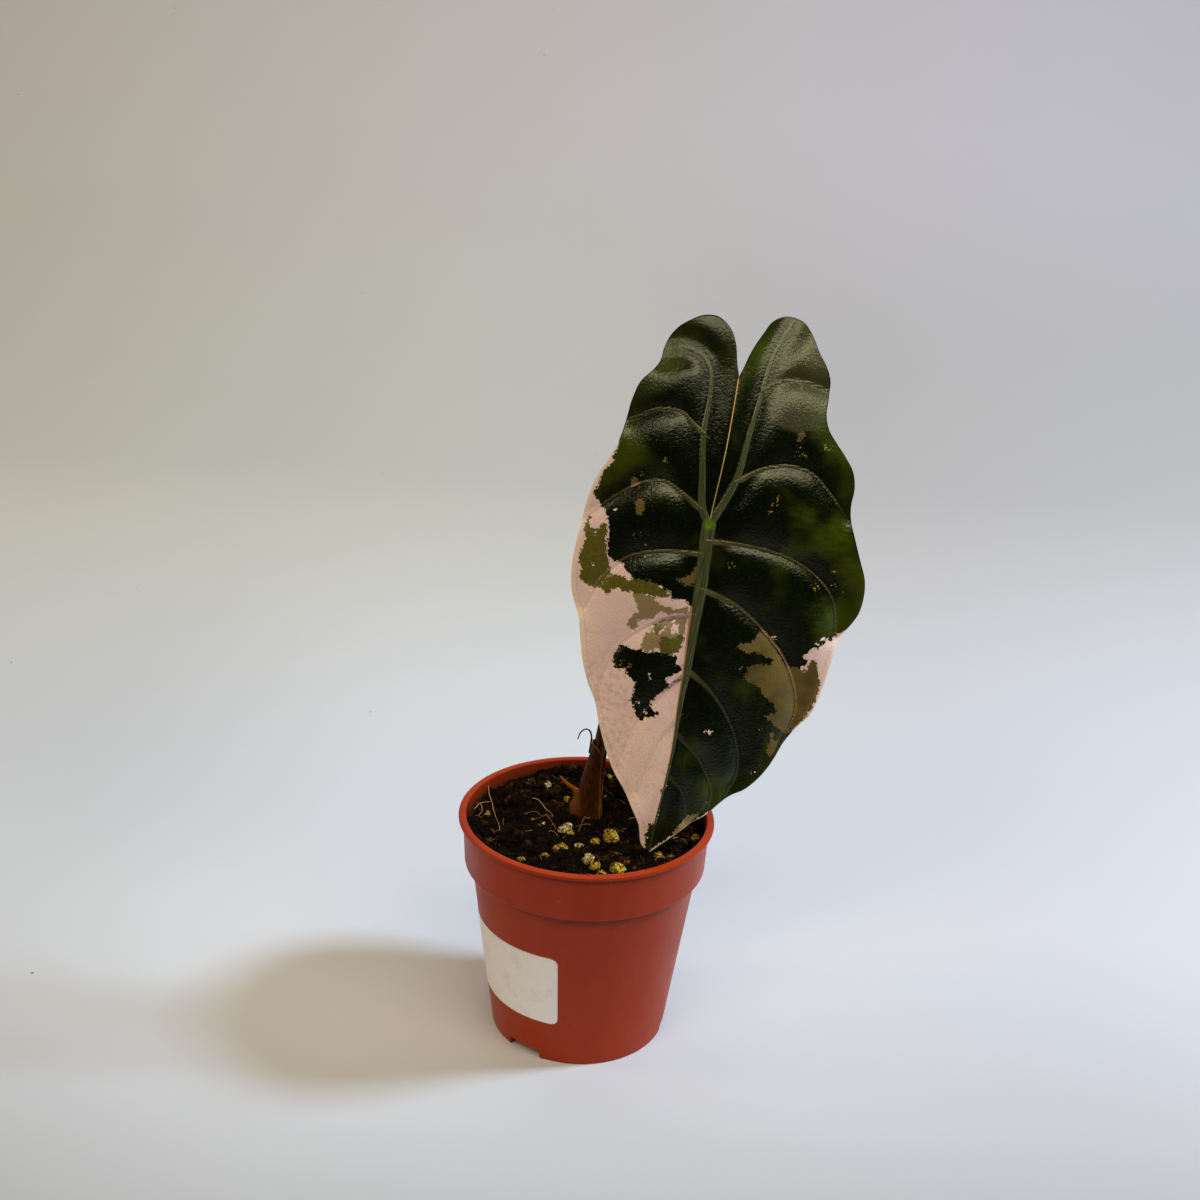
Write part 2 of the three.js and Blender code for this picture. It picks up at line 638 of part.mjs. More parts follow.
// A root: out from the rootstock and down, narrowing to its tip.
function root(number, extra, random) {
  const angle = (2 * Math.PI * (number + 0.4 * random())) / ROOT_COUNT;
  const reach = ROOT_REACH * (0.7 + 0.3 * random());
  const drop = ROOT_DROP * (0.7 + 0.3 * random());
  const startZ = 52 + 14 * random();
  const at = (part, sink) => {
    const x = PLANT_X + reach * part * Math.cos(angle + 0.3 * part);
    return [x, PLANT_Y + 0.8 * reach * part * Math.sin(angle + 0.3 * part), startZ - drop * sink];
  };
  const curve = smoothCurve([at(0.08, 0), at(0.4, 0.12), at(0.75, 0.45), at(1, 1)]);
  const radiusAt = (point, part) => THREE.MathUtils.lerp(ROOT_RADIUS, ROOT_TIP_RADIUS, part) + extra;
  return toSolid(rod(curve, radiusAt, ROOT_STEPS, ROOT_SIDES));
}

function rootstockSolid(extra) {
  const random = randomStream(SEED + 2);
  const rings = ROOTSTOCK_PROFILE.map(([z, radius]) => (
    levelRing(PLANT_X, PLANT_Y, radius + extra, () => z, ROOTSTOCK_SIDES)
  ));
  const foot = rings[0].map((point) => point.clone().setZ(point.z - extra));
  const seat = rings[rings.length - 1].map((point) => point.clone().setZ(point.z + extra));
  const stem = toSolid(loft(extra > 0 ? [foot, ...rings, seat] : rings));
  const roots = [];
  for (let i = 0; i < ROOT_COUNT; i += 1) roots.push(root(i, extra, random));
  return joined([stem, ...roots]);
}

function makeRootstock() {
  return toGeometry(rootstockSolid(0));
}

// Distance on the blade from a place to a route, and how far along the route its nearest point is.
function nearest(route, across, along) {
  let best = [Infinity, 0];
  for (let i = 0; i < route.length; i += 1) {
    const distance = Math.hypot(across - route[i].x, along - route[i].y);
    if (distance < best[0]) best = [distance, i / (route.length - 1)];
  }
  return best;
}

const ribRoutes = [MIDRIB, LEFT_RIB, RIGHT_RIB].map((points) => (
  smoothCurve(points).getSpacedPoints(RIB_SAMPLES)
));
const veinRoutes = SIDE_VEINS.map((points) => smoothCurve(points).getSpacedPoints(VEIN_SAMPLES));

// Height of the blade's upper face over its own plane.
function bladeHeight(across, along) {
  const fall = Math.tan(radians(across < 0 ? FALL_LEFT : FALL_RIGHT));
  const side = fall * (Math.hypot(across, RIDGE_ROUNDING) - RIDGE_ROUNDING);
  const top = Math.max(0, along - TOP_BEND_START) ** 2 / (2 * TOP_BEND_RADIUS);
  const low = Math.min(0, along - LOW_BEND_START) ** 2 / (2 * LOW_BEND_RADIUS);
  let swell = SWELL_HEIGHT;
  for (const route of ribRoutes) {
    const [distance] = nearest(route, across, along);
    swell *= 1 - Math.exp(-((Math.max(0, distance - RIB_HALF_WIDTH) / SWELL_REACH) ** 2));
  }
  for (const route of veinRoutes) {
    const [distance] = nearest(route, across, along);
    swell *= 1 - Math.exp(-((distance / SWELL_REACH) ** 2));
  }
  return swell - side - top - low;
}

// How thick the blade is, with the ribs that stand out of its underside.
function bladeDepth(across, along) {
  let depth = BLADE_THICKNESS;
  ribRoutes.forEach((route, number) => {
    const [distance, part] = nearest(route, across, along);
    const fade = number === 0 ? part : 1 - part;
    const full = number === 0 ? MIDRIB_DEPTH : LOBE_RIB_DEPTH;
    const rib = full * Math.sqrt(fade) * Math.max(0, 1 - (distance / RIB_REACH) ** 2);
    depth = Math.max(depth, BLADE_THICKNESS + rib);
  });
  return depth;
}

// Points along a curve, from one part of its length to another.
function stations(curve, from, to, steps) {
  const points = [];
  for (let i = 0; i <= steps; i += 1) points.push(curve.getPointAt(from + ((to - from) * i) / steps));
  return points;
}

// The blade's flat layout: four patches, each a pair of lines of stations that rungs join.
function bladePatches() {
  const lobeRibSteps = SUTURE_STEPS + LOBE_STEPS;
  const midrib = stations(smoothCurve(MIDRIB), 0, 1, MIDRIB_STEPS);
  const suture = stations(smoothCurve(SUTURE), 0, 1, SUTURE_STEPS);
  const patches = [];
  const halves = [[LEFT_RIB, LEFT_EDGE, LEFT_LOBE], [RIGHT_RIB, RIGHT_EDGE, RIGHT_LOBE]];
  for (const [rib, edge, lobe] of halves) {
    const ribLine = stations(smoothCurve(rib), 0, 1, lobeRibSteps);
    const edgeCurve = smoothCurve(edge);
    const beside = smoothCurve(MIDRIB).getLength();
    const turnPart = beside / (beside + smoothCurve(rib).getLength());
    const edgeLine = stations(edgeCurve, 0, turnPart, MIDRIB_STEPS);
    edgeLine.push(...stations(edgeCurve, turnPart, 1, lobeRibSteps).slice(1));
    const lobeLine = stations(smoothCurve(lobe), 0, 1, LOBE_STEPS).reverse();
    patches.push({ inner: [...midrib, ...ribLine.slice(1)], outer: edgeLine, steps: OUTER_STEPS });
    patches.push({ inner: ribLine, outer: [...suture, ...lobeLine.slice(1)], steps: INNER_STEPS });
  }
  return patches;
}

// The blade in its own frame. over lifts its upper face, and under lowers its underside.
function bladeGeometry(over, under) {
  const triangles = [];
  const upper = (flat) => new THREE.Vector3(flat.x, flat.y, bladeHeight(flat.x, flat.y) + over);
  const lower = (flat) => {
    const z = bladeHeight(flat.x, flat.y) - bladeDepth(flat.x, flat.y) - under;
    return new THREE.Vector3(flat.x, flat.y, z);
  };
  const turn = (p, q, r) => (q.x - p.x) * (r.y - p.y) - (q.y - p.y) * (r.x - p.x);
  const addFaces = (p, q, r) => {
    const area = turn(p, q, r);
    if (Math.abs(area) < WELD) return;
    const [a, b, c] = area > 0 ? [p, q, r] : [p, r, q];
    triangles.push([upper(a), upper(b), upper(c)], [lower(a), lower(c), lower(b)]);
  };
  const patches = bladePatches();
  for (const { inner, outer, steps } of patches) {
    for (let i = 0; i + 1 < inner.length; i += 1) {
      for (let j = 0; j < steps; j += 1) {
        const [near, far] = [j / steps, (j + 1) / steps];
        const a = inner[i].clone().lerp(outer[i], near);
        const b = inner[i].clone().lerp(outer[i], far);
        const c = inner[i + 1].clone().lerp(outer[i + 1], far);
        const d = inner[i + 1].clone().lerp(outer[i + 1], near);
        addFaces(a, b, c);
        addFaces(a, c, d);
      }
    }
  }
  const [left, leftLobe, right, rightLobe] = patches.map((patch) => patch.outer);
  const border = [...right, ...rightLobe.slice(SUTURE_STEPS).reverse()];
  border.push(...leftLobe.slice(SUTURE_STEPS), ...left.slice().reverse());
  for (let i = 0; i + 1 < border.length; i += 1) {
    const [here, next] = [border[i], border[i + 1]];
    if (here.distanceTo(next) < WELD) continue;
    triangles.push([upper(here), lower(here), lower(next)], [upper(here), lower(next), upper(next)]);
  }
  return geometryOf(triangles);
}

function bladeMatrix() {
  const along = BLADE_JOINT.clone().sub(BLADE_HANG).normalize();
  const out = new THREE.Vector3(0, -1, 0);
  out.addScaledVector(along, -out.dot(along)).normalize();
  const across = along.clone().cross(out);
  const matrix = new THREE.Matrix4().makeBasis(across, along, out);
  return matrix.setPosition(BLADE_JOINT);
}

function piece(name, geometry, color, roughness) {
  const material = new THREE.MeshStandardMaterial({ color, roughness, metalness: 0 });
  const mesh = new THREE.Mesh(geometry, material);
  mesh.name = name;
  return mesh;
}

const blade = piece('leaf_blade', bladeGeometry(0, 0), LEAF_GREEN, 0.4);
blade.applyMatrix4(bladeMatrix());

const container = new THREE.Group();
container.add(piece('pot', makePot(), TERRACOTTA, 0.55));
container.add(piece('label', makeLabel(), LABEL_WHITE, 0.6));

const plant = new THREE.Group();
plant.add(piece('rootstock', makeRootstock(), ROOT_CREAM, 0.8));
plant.add(piece('petiole', makePetiole(), PETIOLE_BROWN, 0.45));
plant.add(piece('cataphyll', makeCataphyll(), SHEATH_ORANGE, 0.6));
plant.add(piece('old_sheath', makeOldSheath(), SHEATH_ORANGE, 0.6));
plant.add(blade);

const group = new THREE.Group();
group.add(container, piece('soil', makeSoil(), SOIL_DARK, 0.95), plant);

export default group;
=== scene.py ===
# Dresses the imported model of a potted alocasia: fine surfaces, materials, camera, light and floor.
# Lengths are millimetres, in the model's own frame, and become metres where a mesh is made.

import itertools
import math

import bmesh
import bpy
import numpy as np
from mathutils import Matrix, Vector


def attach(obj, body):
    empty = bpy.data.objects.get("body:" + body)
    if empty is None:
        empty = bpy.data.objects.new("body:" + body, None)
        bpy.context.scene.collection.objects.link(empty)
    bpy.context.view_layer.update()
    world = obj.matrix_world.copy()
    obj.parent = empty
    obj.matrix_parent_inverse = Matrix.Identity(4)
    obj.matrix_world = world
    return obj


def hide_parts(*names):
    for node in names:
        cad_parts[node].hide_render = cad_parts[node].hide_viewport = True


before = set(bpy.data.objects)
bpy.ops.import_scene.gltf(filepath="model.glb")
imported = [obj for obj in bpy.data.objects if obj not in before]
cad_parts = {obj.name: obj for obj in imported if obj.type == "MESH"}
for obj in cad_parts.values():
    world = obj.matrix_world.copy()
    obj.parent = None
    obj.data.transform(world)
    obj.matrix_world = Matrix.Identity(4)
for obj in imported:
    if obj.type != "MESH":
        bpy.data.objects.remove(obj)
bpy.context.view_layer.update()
METRE = 0.001
SEED = 20417

# Sockets of Blender's Mix node when it mixes colours.
MIX_SHARE, MIX_FIRST, MIX_SECOND = 0, 6, 7
MIX_RESULT = 2

# Camera: it stands where the photograph was taken from.
CAMERA_PLACE = (1.1, -502.2, 350.4)
CAMERA_PITCH = math.radians(20.45)
CAMERA_ROLL = math.radians(2.72)
CAMERA_LENS = 48.0
CAMERA_SENSOR = 36.0
CAMERA_NEAREST = 0.02

# Lights: name, place, target, width and height, in metres, then watts, colour and whether gloss shows them.
LIGHTS = (
    ("overhead", (0.0, 0.3, 1.3), (0, 0, 0.1), (1.0, 0.7), 3.3, (1, 0.88, 0.72), True),
    ("right_window", (1.1, 0.09, 1.1), (0, 0, 0.05), (0.26, 0.3), 27.0, (0.56, 0.73, 1), False),
    ("left_lamp", (-1.35, 0.0, 0.62), (0, 0, 0.05), (0.3, 0.3), 4.2, (1, 0.76, 0.48), True),
    ("front_fill", (0.15, -0.75, 1.05), (0.05, 0, 0.12), (2.3, 0.36), 15.6, (1, 0.86, 0.68), True),
)
ROOM_COLOUR = (1, 0.88, 0.7, 1)
ROOM_STRENGTH = 0.016

# Backdrop: a level floor that turns up into a wall.
BACKDROP_HALF_WIDTH = 2200.0
BACKDROP_FRONT = -1500.0
BACKDROP_TURN_START = 700.0
BACKDROP_TURN_RADIUS = 700.0
BACKDROP_TOP = 2200.0

# Pot.
RIM_RADIUS = 45.0
POT_HEIGHT = 83.0
WALL = 1.1
LIP_HEIGHT = 1.6
COLLAR_TOP_RADIUS = 43.4
COLLAR_FOOT_RADIUS = 42.6
COLLAR_FOOT_Z = 65.0
BODY_TOP_RADIUS = 40.0
FOOT_RADIUS = 31.4
FOOT_RING_WIDTH = 2.2
RING_INSIDE = FOOT_RADIUS - FOOT_RING_WIDTH
FLOOR_Z = 4.6
FLOOR_THICKNESS = 1.2
HUB_RADIUS = 9.0
HUB_SLOPE = 0.6
NOTCH_WIDTH = 13.0
NOTCH_HEIGHT = 3.5
NOTCH_EDGE = 0.2
NOTCH_ANGLES = (114.0, 234.0, 354.0)
DRAIN_RADIUS = 3.2
DRAIN_CIRCLE_RADIUS = 20.0
DRAIN_COUNT = 6
POT_SIDES = 216
POT_CREASE = 40

# Label: a bare paper sticker that runs round the pot to the left.
LABEL_LENGTH = 54.0
LABEL_BOTTOM_Z = 17.2
LABEL_TOP_Z = 46.0
LABEL_RIGHT_ANGLE = math.radians(-101.3)
LABEL_CORNER = 2.6
LABEL_LIFT = 0.05
LABEL_THICKNESS = 0.14
LABEL_RIPPLE = 0.05
LABEL_COLUMNS = 110
LABEL_ROWS = 50

# Potting mix.
SOIL_Z = 76.4
HEAP_HEIGHT = 2.6
HEAP_RADIUS = 10.0
BACK_RISE = 3.2
BROAD_LUMP_HEIGHT = 1.6
BROAD_LUMP_SIZE = 8
SMALL_LUMP_HEIGHT = 1.2
SMALL_LUMP_SIZE = 3.6
CRUMBLE_HEIGHT = 0.8
CRUMBLE_SIZE = 2.0
GRIT_HEIGHT = 0.5
GRIT_SIZE = 0.9
WALL_RAGGEDNESS = 0.9
PLANT_X = 2.0
PLANT_Y = 8.0
SOIL_RINGS = 120
SOIL_SIDES = 420
SOIL_CLEARANCE = 0.05
SOIL_SIDE_GAP = 0.2
SOIL_FLOOR_GAP = 0.3
CRUMB_COUNT = 1450
CRUMB_LEAST = 0.4
CRUMB_SPREAD = 2.3
CLOD_RADIUS = 0.9
CLOD_REACH = 41.5
GRAIN_COUNT = 18
GRAIN_LEAST = 1.4
GRAIN_SPREAD = 2.4
GRAIN_SPACING = 6
GRAIN_LIFT = 0.2
CHIP_COUNT = 12
CHIP_LEAST = 1.8
CHIP_SPREAD = 2.6
CHIP_BLUNTNESS = 0.55
CHIP_HALF_THICKNESS = 0.32
CHIP_LIFT = 0.55
LOOSE_FIBRES = 110
FIBRE_SIDES = 6

# Radius, tone and height over the mix of a straw and of a root, and a loose thread's height.
STRAW_BUILD = (0.17, 0.8, 1.5)
ROOT_BUILD = (0.16, 0.3, 1.1)
THREAD_LIFT = 0.6

# Perlite grains that lie in front of the leaf: x, y, diameter, how yellow.
FRONT_GRAINS = (
    (-15, 29, 3.3, 0.3), (-7, 17, 3.0, 0.9), (-7, -2.5, 5.4, 0.3), (-8.5, -14, 4.8, 0.7),
    (9, -6, 6.4, 0.6), (-2, -12, 3.1, 0.2), (1.5, -21, 4.2, 0.1), (3.5, -26.5, 3.7, 0.8),
    (6, -32, 3.2, 0.9), (11, -29, 4.6, 0.6), (-13.5, -20, 2.8, 1.0), (25, -16, 3.8, 0.5),
    (26.5, -19, 2.4, 0.8), (31.5, -3, 2.6, 0.0), (38.5, -2.5, 3.2, 0.8), (-21.5, -25, 2.4, 0.4),
    (3.5, -9, 3.4, 0.5), (29.4, -15.2, 2.1, 0.9), (-19.5, 4, 1.6, 1.0), (-0.5, 43, 3.0, 0.4),
)

# Bark chips in sight: x, y, length, heading in degrees.
FRONT_CHIPS = (
    (35, 0.5, 5, 40), (13.5, -23, 4.5, 160), (30, 3, 4, 100), (-34, -4, 4, 20), (17, -26, 3, 60),
)

# Fibres on the mix, as routes of x and y: pale straws, and brown roots.
STRAWS = (
    ((-40.3, 22), (-37.5, 23), (-35.5, 17), (-33.6, 9), (-31.2, 1), (-30.3, -6), (-31.8, -13)),
    ((-41, 14), (-39, 12), (-37.5, 8), (-38.5, 3)),
    ((-40.5, 9), (-37, 13), (-34.5, 14)),
    ((-20, 14), (-16, 12), (-13, 9), (-11, 6)),
)
ROOTS = (
    ((2, 5), (0.5, 3.5), (-1, -0.5), (-2.8, -4.5)),
    ((-15.5, 6), (-13, 0), (-10.5, -5)),
    ((-24, 8), (-20, 9), (-15, 4)),
    ((15, 3), (18, 6), (21, 2), (26, 4)),
)

# Petiole: route of x, y, z, and radius at a height.
PETIOLE_ROUTE = (
    (2, 8, 74), (2, 7.6, 90), (3, 6.5, 102), (4.5, 5.5, 115), (7.3, 4.6, 129), (11.4, 3.4, 144),
    (18, 1.4, 162), (26.2, -1.4, 179), (32.6, -4.8, 189.3), (35.6, -7.6, 193.2),
)
PETIOLE_RADII = (
    (76, 2.8), (90, 2.6), (102, 2.15), (115, 1.9), (145, 1.7), (184, 1.8), (190.5, 2.1), (193.4, 0.8),
)
PETIOLE_STEPS = 150
PETIOLE_SIDES = 40

# Cataphyll: angles in degrees between which it covers the petiole, at each height, how far it
# swells out at each height, and its curl.
SHEATH_COVER = (
    (76.5, -30, 322), (95, -24, 316), (103, -6, 298), (106.5, 50, 255), (108.5, 165, 185),
)
SHEATH_SWELLING = ((76.5, 1.7), (86, 2.1), (92, 1.6), (98, 0.7), (104, 0.1), (108.5, 0))
CURL_ROUTE = (
    (-0.05, 6.9, 103), (0.3, 6.9, 106.5), (0.4, 6.8, 109.5), (-0.4, 6.8, 111.7), (-1.8, 6.9, 112.1),
    (-3.4, 7, 110.8), (-4.4, 7, 108),
)
CURL_RADIUS = 0.42
CURL_STEPS = 60
SHEATH_COLUMNS = 64
SHEATH_ROWS = 110
SHEATH_GAP = 0.2
SHEATH_RAGGEDNESS = 5
SHEATH_WRINKLE = 0.14
SHEATH_EDGE_THICKNESS = 0.18
SHEATH_THICKENING = 0.3
SHEATH_EDGE_LIFT = 0.45

# Old sheath: oval sections of its stump and of its torn flap: x, y, z, half width, half depth.
STUMP_SECTIONS = (
    (-2.5, 7.6, 75.5, 2.2, 2.2), (-3.2, 7.3, 79, 3, 2.9), (-3.4, 7.2, 82, 2.8, 2.7),
    (-3, 7.3, 85, 2.2, 2), (-3.2, 7.3, 87.6, 1.4, 1.3), (-3.2, 7.3, 88.6, 0.5, 0.5),
)
FLAP_SECTIONS = (
    (-2.6, 7.3, 84.5, 1.4, 0.7), (-3.6, 7.1, 87.6, 1.7, 0.5), (-6, 6.8, 89.6, 1.3, 0.4),
    (-8.3, 6.7, 91.5, 0.8, 0.3), (-10, 6.6, 93.6, 0.3, 0.2),
)
OLD_SHEATH_STEPS = 50
STUMP_SIDES = 44
FLAP_SIDES = 20

# Blade. Its own frame starts where the petiole joins it: first axis across to the right, second
# up along the midrib, third out of its upper face. Two points place it. The points of its edge, ribs
# and veins were picked on the photograph, projected onto the blade and then adjusted.
BLADE_JOINT = np.array((35.2, -8.0, 194.0))
BLADE_HANG = np.array((20.7, -24.0, 82.7))
TIP = (1.5, -115.5)
NOTCH = (0.7, 47.7)
LEFT_RIB_END = (-24, 52)
RIGHT_RIB_END = (16, 69)
LEFT_EDGE = (
    TIP, (-1.5, -113), (-3.9, -105.5), (-7.5, -99.5), (-11.5, -93.5), (-16, -88), (-19, -82.5),
    (-23.3, -73), (-25.5, -67), (-29, -61), (-32, -54), (-34, -47), (-36, -39.5), (-39.5, -32),
    (-41, -24), (-41, -16), (-40.4, -8), (-39.6, 1), (-38, 8), (-33.7, 18.7), (-32, 27), (-31.2, 35),
    (-29.5, 41), (-26, 45.5), (-24.3, 48.7), LEFT_RIB_END,
)
LEFT_LOBE = (
    LEFT_RIB_END, (-22.9, 56), (-20.5, 60), (-17, 63), (-13.5, 65), (-9.6, 65.5), (-6.8, 64.3),
    (-4, 61.7), (-2, 57.5), (-0.8, 52.5), NOTCH,
)
RIGHT_EDGE = (
    TIP, (4.7, -112), (8.7, -107), (13.5, -102), (18.5, -98), (21.5, -94), (25, -90.5), (29.2, -87.7),
    (32.7, -83.5), (35.3, -79), (40, -68), (43, -63), (46, -59), (48.4, -49), (49.5, -40),
    (50.7, -31.5), (53.5, -26.5), (55.4, -22), (55.8, -16), (54.8, -10.5), (52.5, -5.5), (49.4, 1),
    (46.5, 7.5), (45.2, 13), (45, 19), (43.4, 24), (40.5, 27.8), (36, 32.5), (32.6, 36.5), (31, 41),
    (31, 46), (30.7, 51), (28.6, 55.5), (25.5, 59.5), (21.7, 65.5), (19, 68.2), RIGHT_RIB_END,
)
RIGHT_LOBE = (
    RIGHT_RIB_END, (13.5, 69), (10.7, 68), (8.3, 66), (6.7, 63), (4.7, 59.2), (3, 55), (1.8, 51), NOTCH,
)
JOINT = (0, 0)
MIDRIB = (
    TIP, (1.5, -104), (2.2, -90), (2.5, -76), (2, -62), (2, -48), (1.5, -34), (1.2, -20), (0.3, -8), JOINT,
)
LEFT_RIB = (
    JOINT, (-3, 4.5), (-5, 15), (-7, 28), (-7.2, 41), (-9, 49.5), (-13, 53.2), (-18.5, 54), LEFT_RIB_END,
)
RIGHT_RIB = (
    JOINT, (2.5, 5.5), (6, 16), (7.3, 29), (9, 43), (10.8, 56), (13.5, 63.4), RIGHT_RIB_END,
)
SUTURE = (JOINT, (0.8, 24), NOTCH)
SIDE_VEINS = (
    ((-7, 28.5), (-11, 31), (-15, 33.8), (-22, 33.5), (-31, 28)),
    ((-3, 4), (-11, 8.7), (-17, 11), (-25, 8), (-40, -6.5)),
    ((0, -10), (-13, -11.6), (-24, -16.3), (-31.5, -26), (-35, -36)),
    ((1, -30.5), (-10, -34.5), (-21, -45), (-25.3, -58), (-25, -68)),
    ((2, -50.5), (-3.5, -57), (-11.5, -70), (-15.5, -88)),
    ((2.4, -66), (-3, -74.5), (-7, -94)),
    ((9, 44.5), (13, 47.8), (20, 50), (30.5, 48.5)),
    ((6, 15), (14, 20.5), (22, 22.7), (30, 21.5), (38, 15.5), (45, 8.5)),
    ((0.5, -5.5), (12.6, -5), (26.7, -6.6), (38.3, -11.6), (46, -19), (49.5, -31)),
    ((1.3, -21.5), (13, -24.7), (25, -32.5), (35, -42.6), (41, -57), (38.5, -70)),
    ((2, -49), (12, -56), (21.7, -68.6), (25.4, -81.5), (23, -91)),
    ((2.4, -71), (12, -79.5), (18, -90), (18, -97)),
    ((2.2, -86.5), (8, -91), (11.5, -101)),
)

# Half the midrib's width at shares of its length from the tip, and half the lobe ribs' and veins' widths.
MIDRIB_WIDTHS = ((0, 0.2), (0.3, 0.38), (0.43, 0.65), (0.55, 1.05), (0.68, 1.5), (0.8, 2.0), (1, 2.25))
LOBE_RIB_END_WIDTH = 0.35
LOBE_RIB_TAPER = 0.95
VEIN_WIDTH = 0.62
VEIN_TAPER = 0.38
VEIN_START_PINCH = 0.35
VEIN_START_LENGTH = 0.012
VEIN_FLARE = 0.06

# How the blade is bent, how it swells between the veins, and how thick it is.
FALL_LEFT = math.radians(24)
FALL_RIGHT = math.radians(12)
RIDGE_ROUNDING = 14.0
TOP_BEND_START = 12.0
TOP_BEND_LEFT = 190.0
TOP_BEND_RIGHT = 145.0
LOW_BEND_START = -60.0
LOW_BEND_RADIUS = 420.0
SWELL_HEIGHT = 2.5
SWELL_REACH = 4.4
VEIN_REACH = 3.5
REACH_ABOVE_VEIN = 6.5
TOP_VEINS = (0, 6)
VALLEY_DEPTH = 0.14
VALLEY_REACH = 1.6
RIB_HALF_WIDTH = 2.2
RIB_PLATEAU = 0.28
GROOVE_DEPTH = 0.2
SUTURE_DEPTH = 0.3
QUILTING = 0.04
FINE_QUILTING = 0.008
EDGE_WAVE = 0.5
BLADE_THICKNESS = 0.55
MARGIN_THICKNESS = 0.3
MARGIN_ROUNDING = 0.14
MIDRIB_DEPTH = 2.2
LOBE_RIB_DEPTH = 1.7
SIDE_VEIN_DEPTH = 0.6
RIB_REACH = 3.4
MIDRIB_STEPS = 150
SUTURE_STEPS = 44
LOBE_STEPS = 36
OUTER_STEPS = 72
INNER_STEPS = 26
RIB_CROWDING = 1.35
RIB_SAMPLES = 110
VEIN_SAMPLES = 90
SUTURE_SAMPLES = 40
EDGE_SAMPLES = 160

# Colours of each material but the leaf's, as linear red, green and blue.
# The backdrop's tones by place are painted light and shade, and its last colour is a painted dark room in
# front of the plant.
BACKDROP_PAINTS = {
    "near_left": (0.536, 0.553, 0.549), "near": (0.625, 0.639, 0.633),
    "near_right": (0.550, 0.541, 0.537), "far_left": (0.647, 0.631, 0.532),
    "far_right": (0.546, 0.509, 0.460), "wall_left": (0.709, 0.654, 0.563),
    "wall_right": (0.647, 0.593, 0.581), "cloud": (0.5, 0.49, 0.46), "speck": (0.25, 0.2, 0.16),
    "painted_dark_room": (0.036, 0.032, 0.024),
}
# soiled darkens the inner wall, for soil smears and for painted shade.
POT_PAINTS = {
    "red": (0.322, 0.0275, 0.0025), "streak": (0.338, 0.031, 0.003), "cloud": (0.34, 0.042, 0.010),
    "speck": (0.05, 0.02, 0.012), "dust": (0.5, 0.36, 0.28), "soiled": (0.03, 0.012, 0.006),
}
LABEL_PAINTS = {
    "paper": (0.82, 0.785, 0.75), "fibre": (0.86, 0.825, 0.79), "smudge": (0.45, 0.38, 0.30),
    "edge": (0.42, 0.33, 0.27),
}
SOIL_PAINTS = {
    "black": (0.0004, 0.0002, 0.0001), "peat": (0.010, 0.0044, 0.0012), "brown": (0.05, 0.019, 0.004),
    "thread": (0.14, 0.07, 0.025),
}
GRAIN_PAINTS = {
    "cream": (0.70, 0.58, 0.33), "ochre": (0.50, 0.32, 0.012), "shaded": (0.20, 0.115, 0.008),
    "dirt": (0.014, 0.007, 0.002), "sunk": (0.03, 0.018, 0.005),
}
CHIP_PAINTS = {
    "dark": (0.02, 0.006, 0.001), "red": (0.13, 0.036, 0.005), "patch": (0.015, 0.007, 0.003),
}
FIBRE_PAINTS = {
    "root": (0.13, 0.04, 0.006), "straw": (0.5, 0.27, 0.07), "streak": (0.10, 0.05, 0.02),
}
PETIOLE_PAINTS = {
    "foot_dark": (0.016, 0.005, 0.001), "foot": (0.075, 0.022, 0.003), "olive": (0.16, 0.165, 0.055),
    "fleck": (0.055, 0.045, 0.018),
}
# dry and torn are partly painted light, on the sheath's right side and along its margins.
SHEATH_PAINTS = {
    "dark": (0.026, 0.007, 0.001), "brown": (0.092, 0.026, 0.003), "dry": (0.21, 0.062, 0.006),
    "blotch": (0.026, 0.007, 0.002), "torn": (0.50, 0.15, 0.012), "damp": (0.03, 0.014, 0.008),
}
ROOT_PAINTS = {
    "cream": (0.42, 0.30, 0.16), "scar": (0.20, 0.11, 0.05), "patch": (0.09, 0.05, 0.025),
}

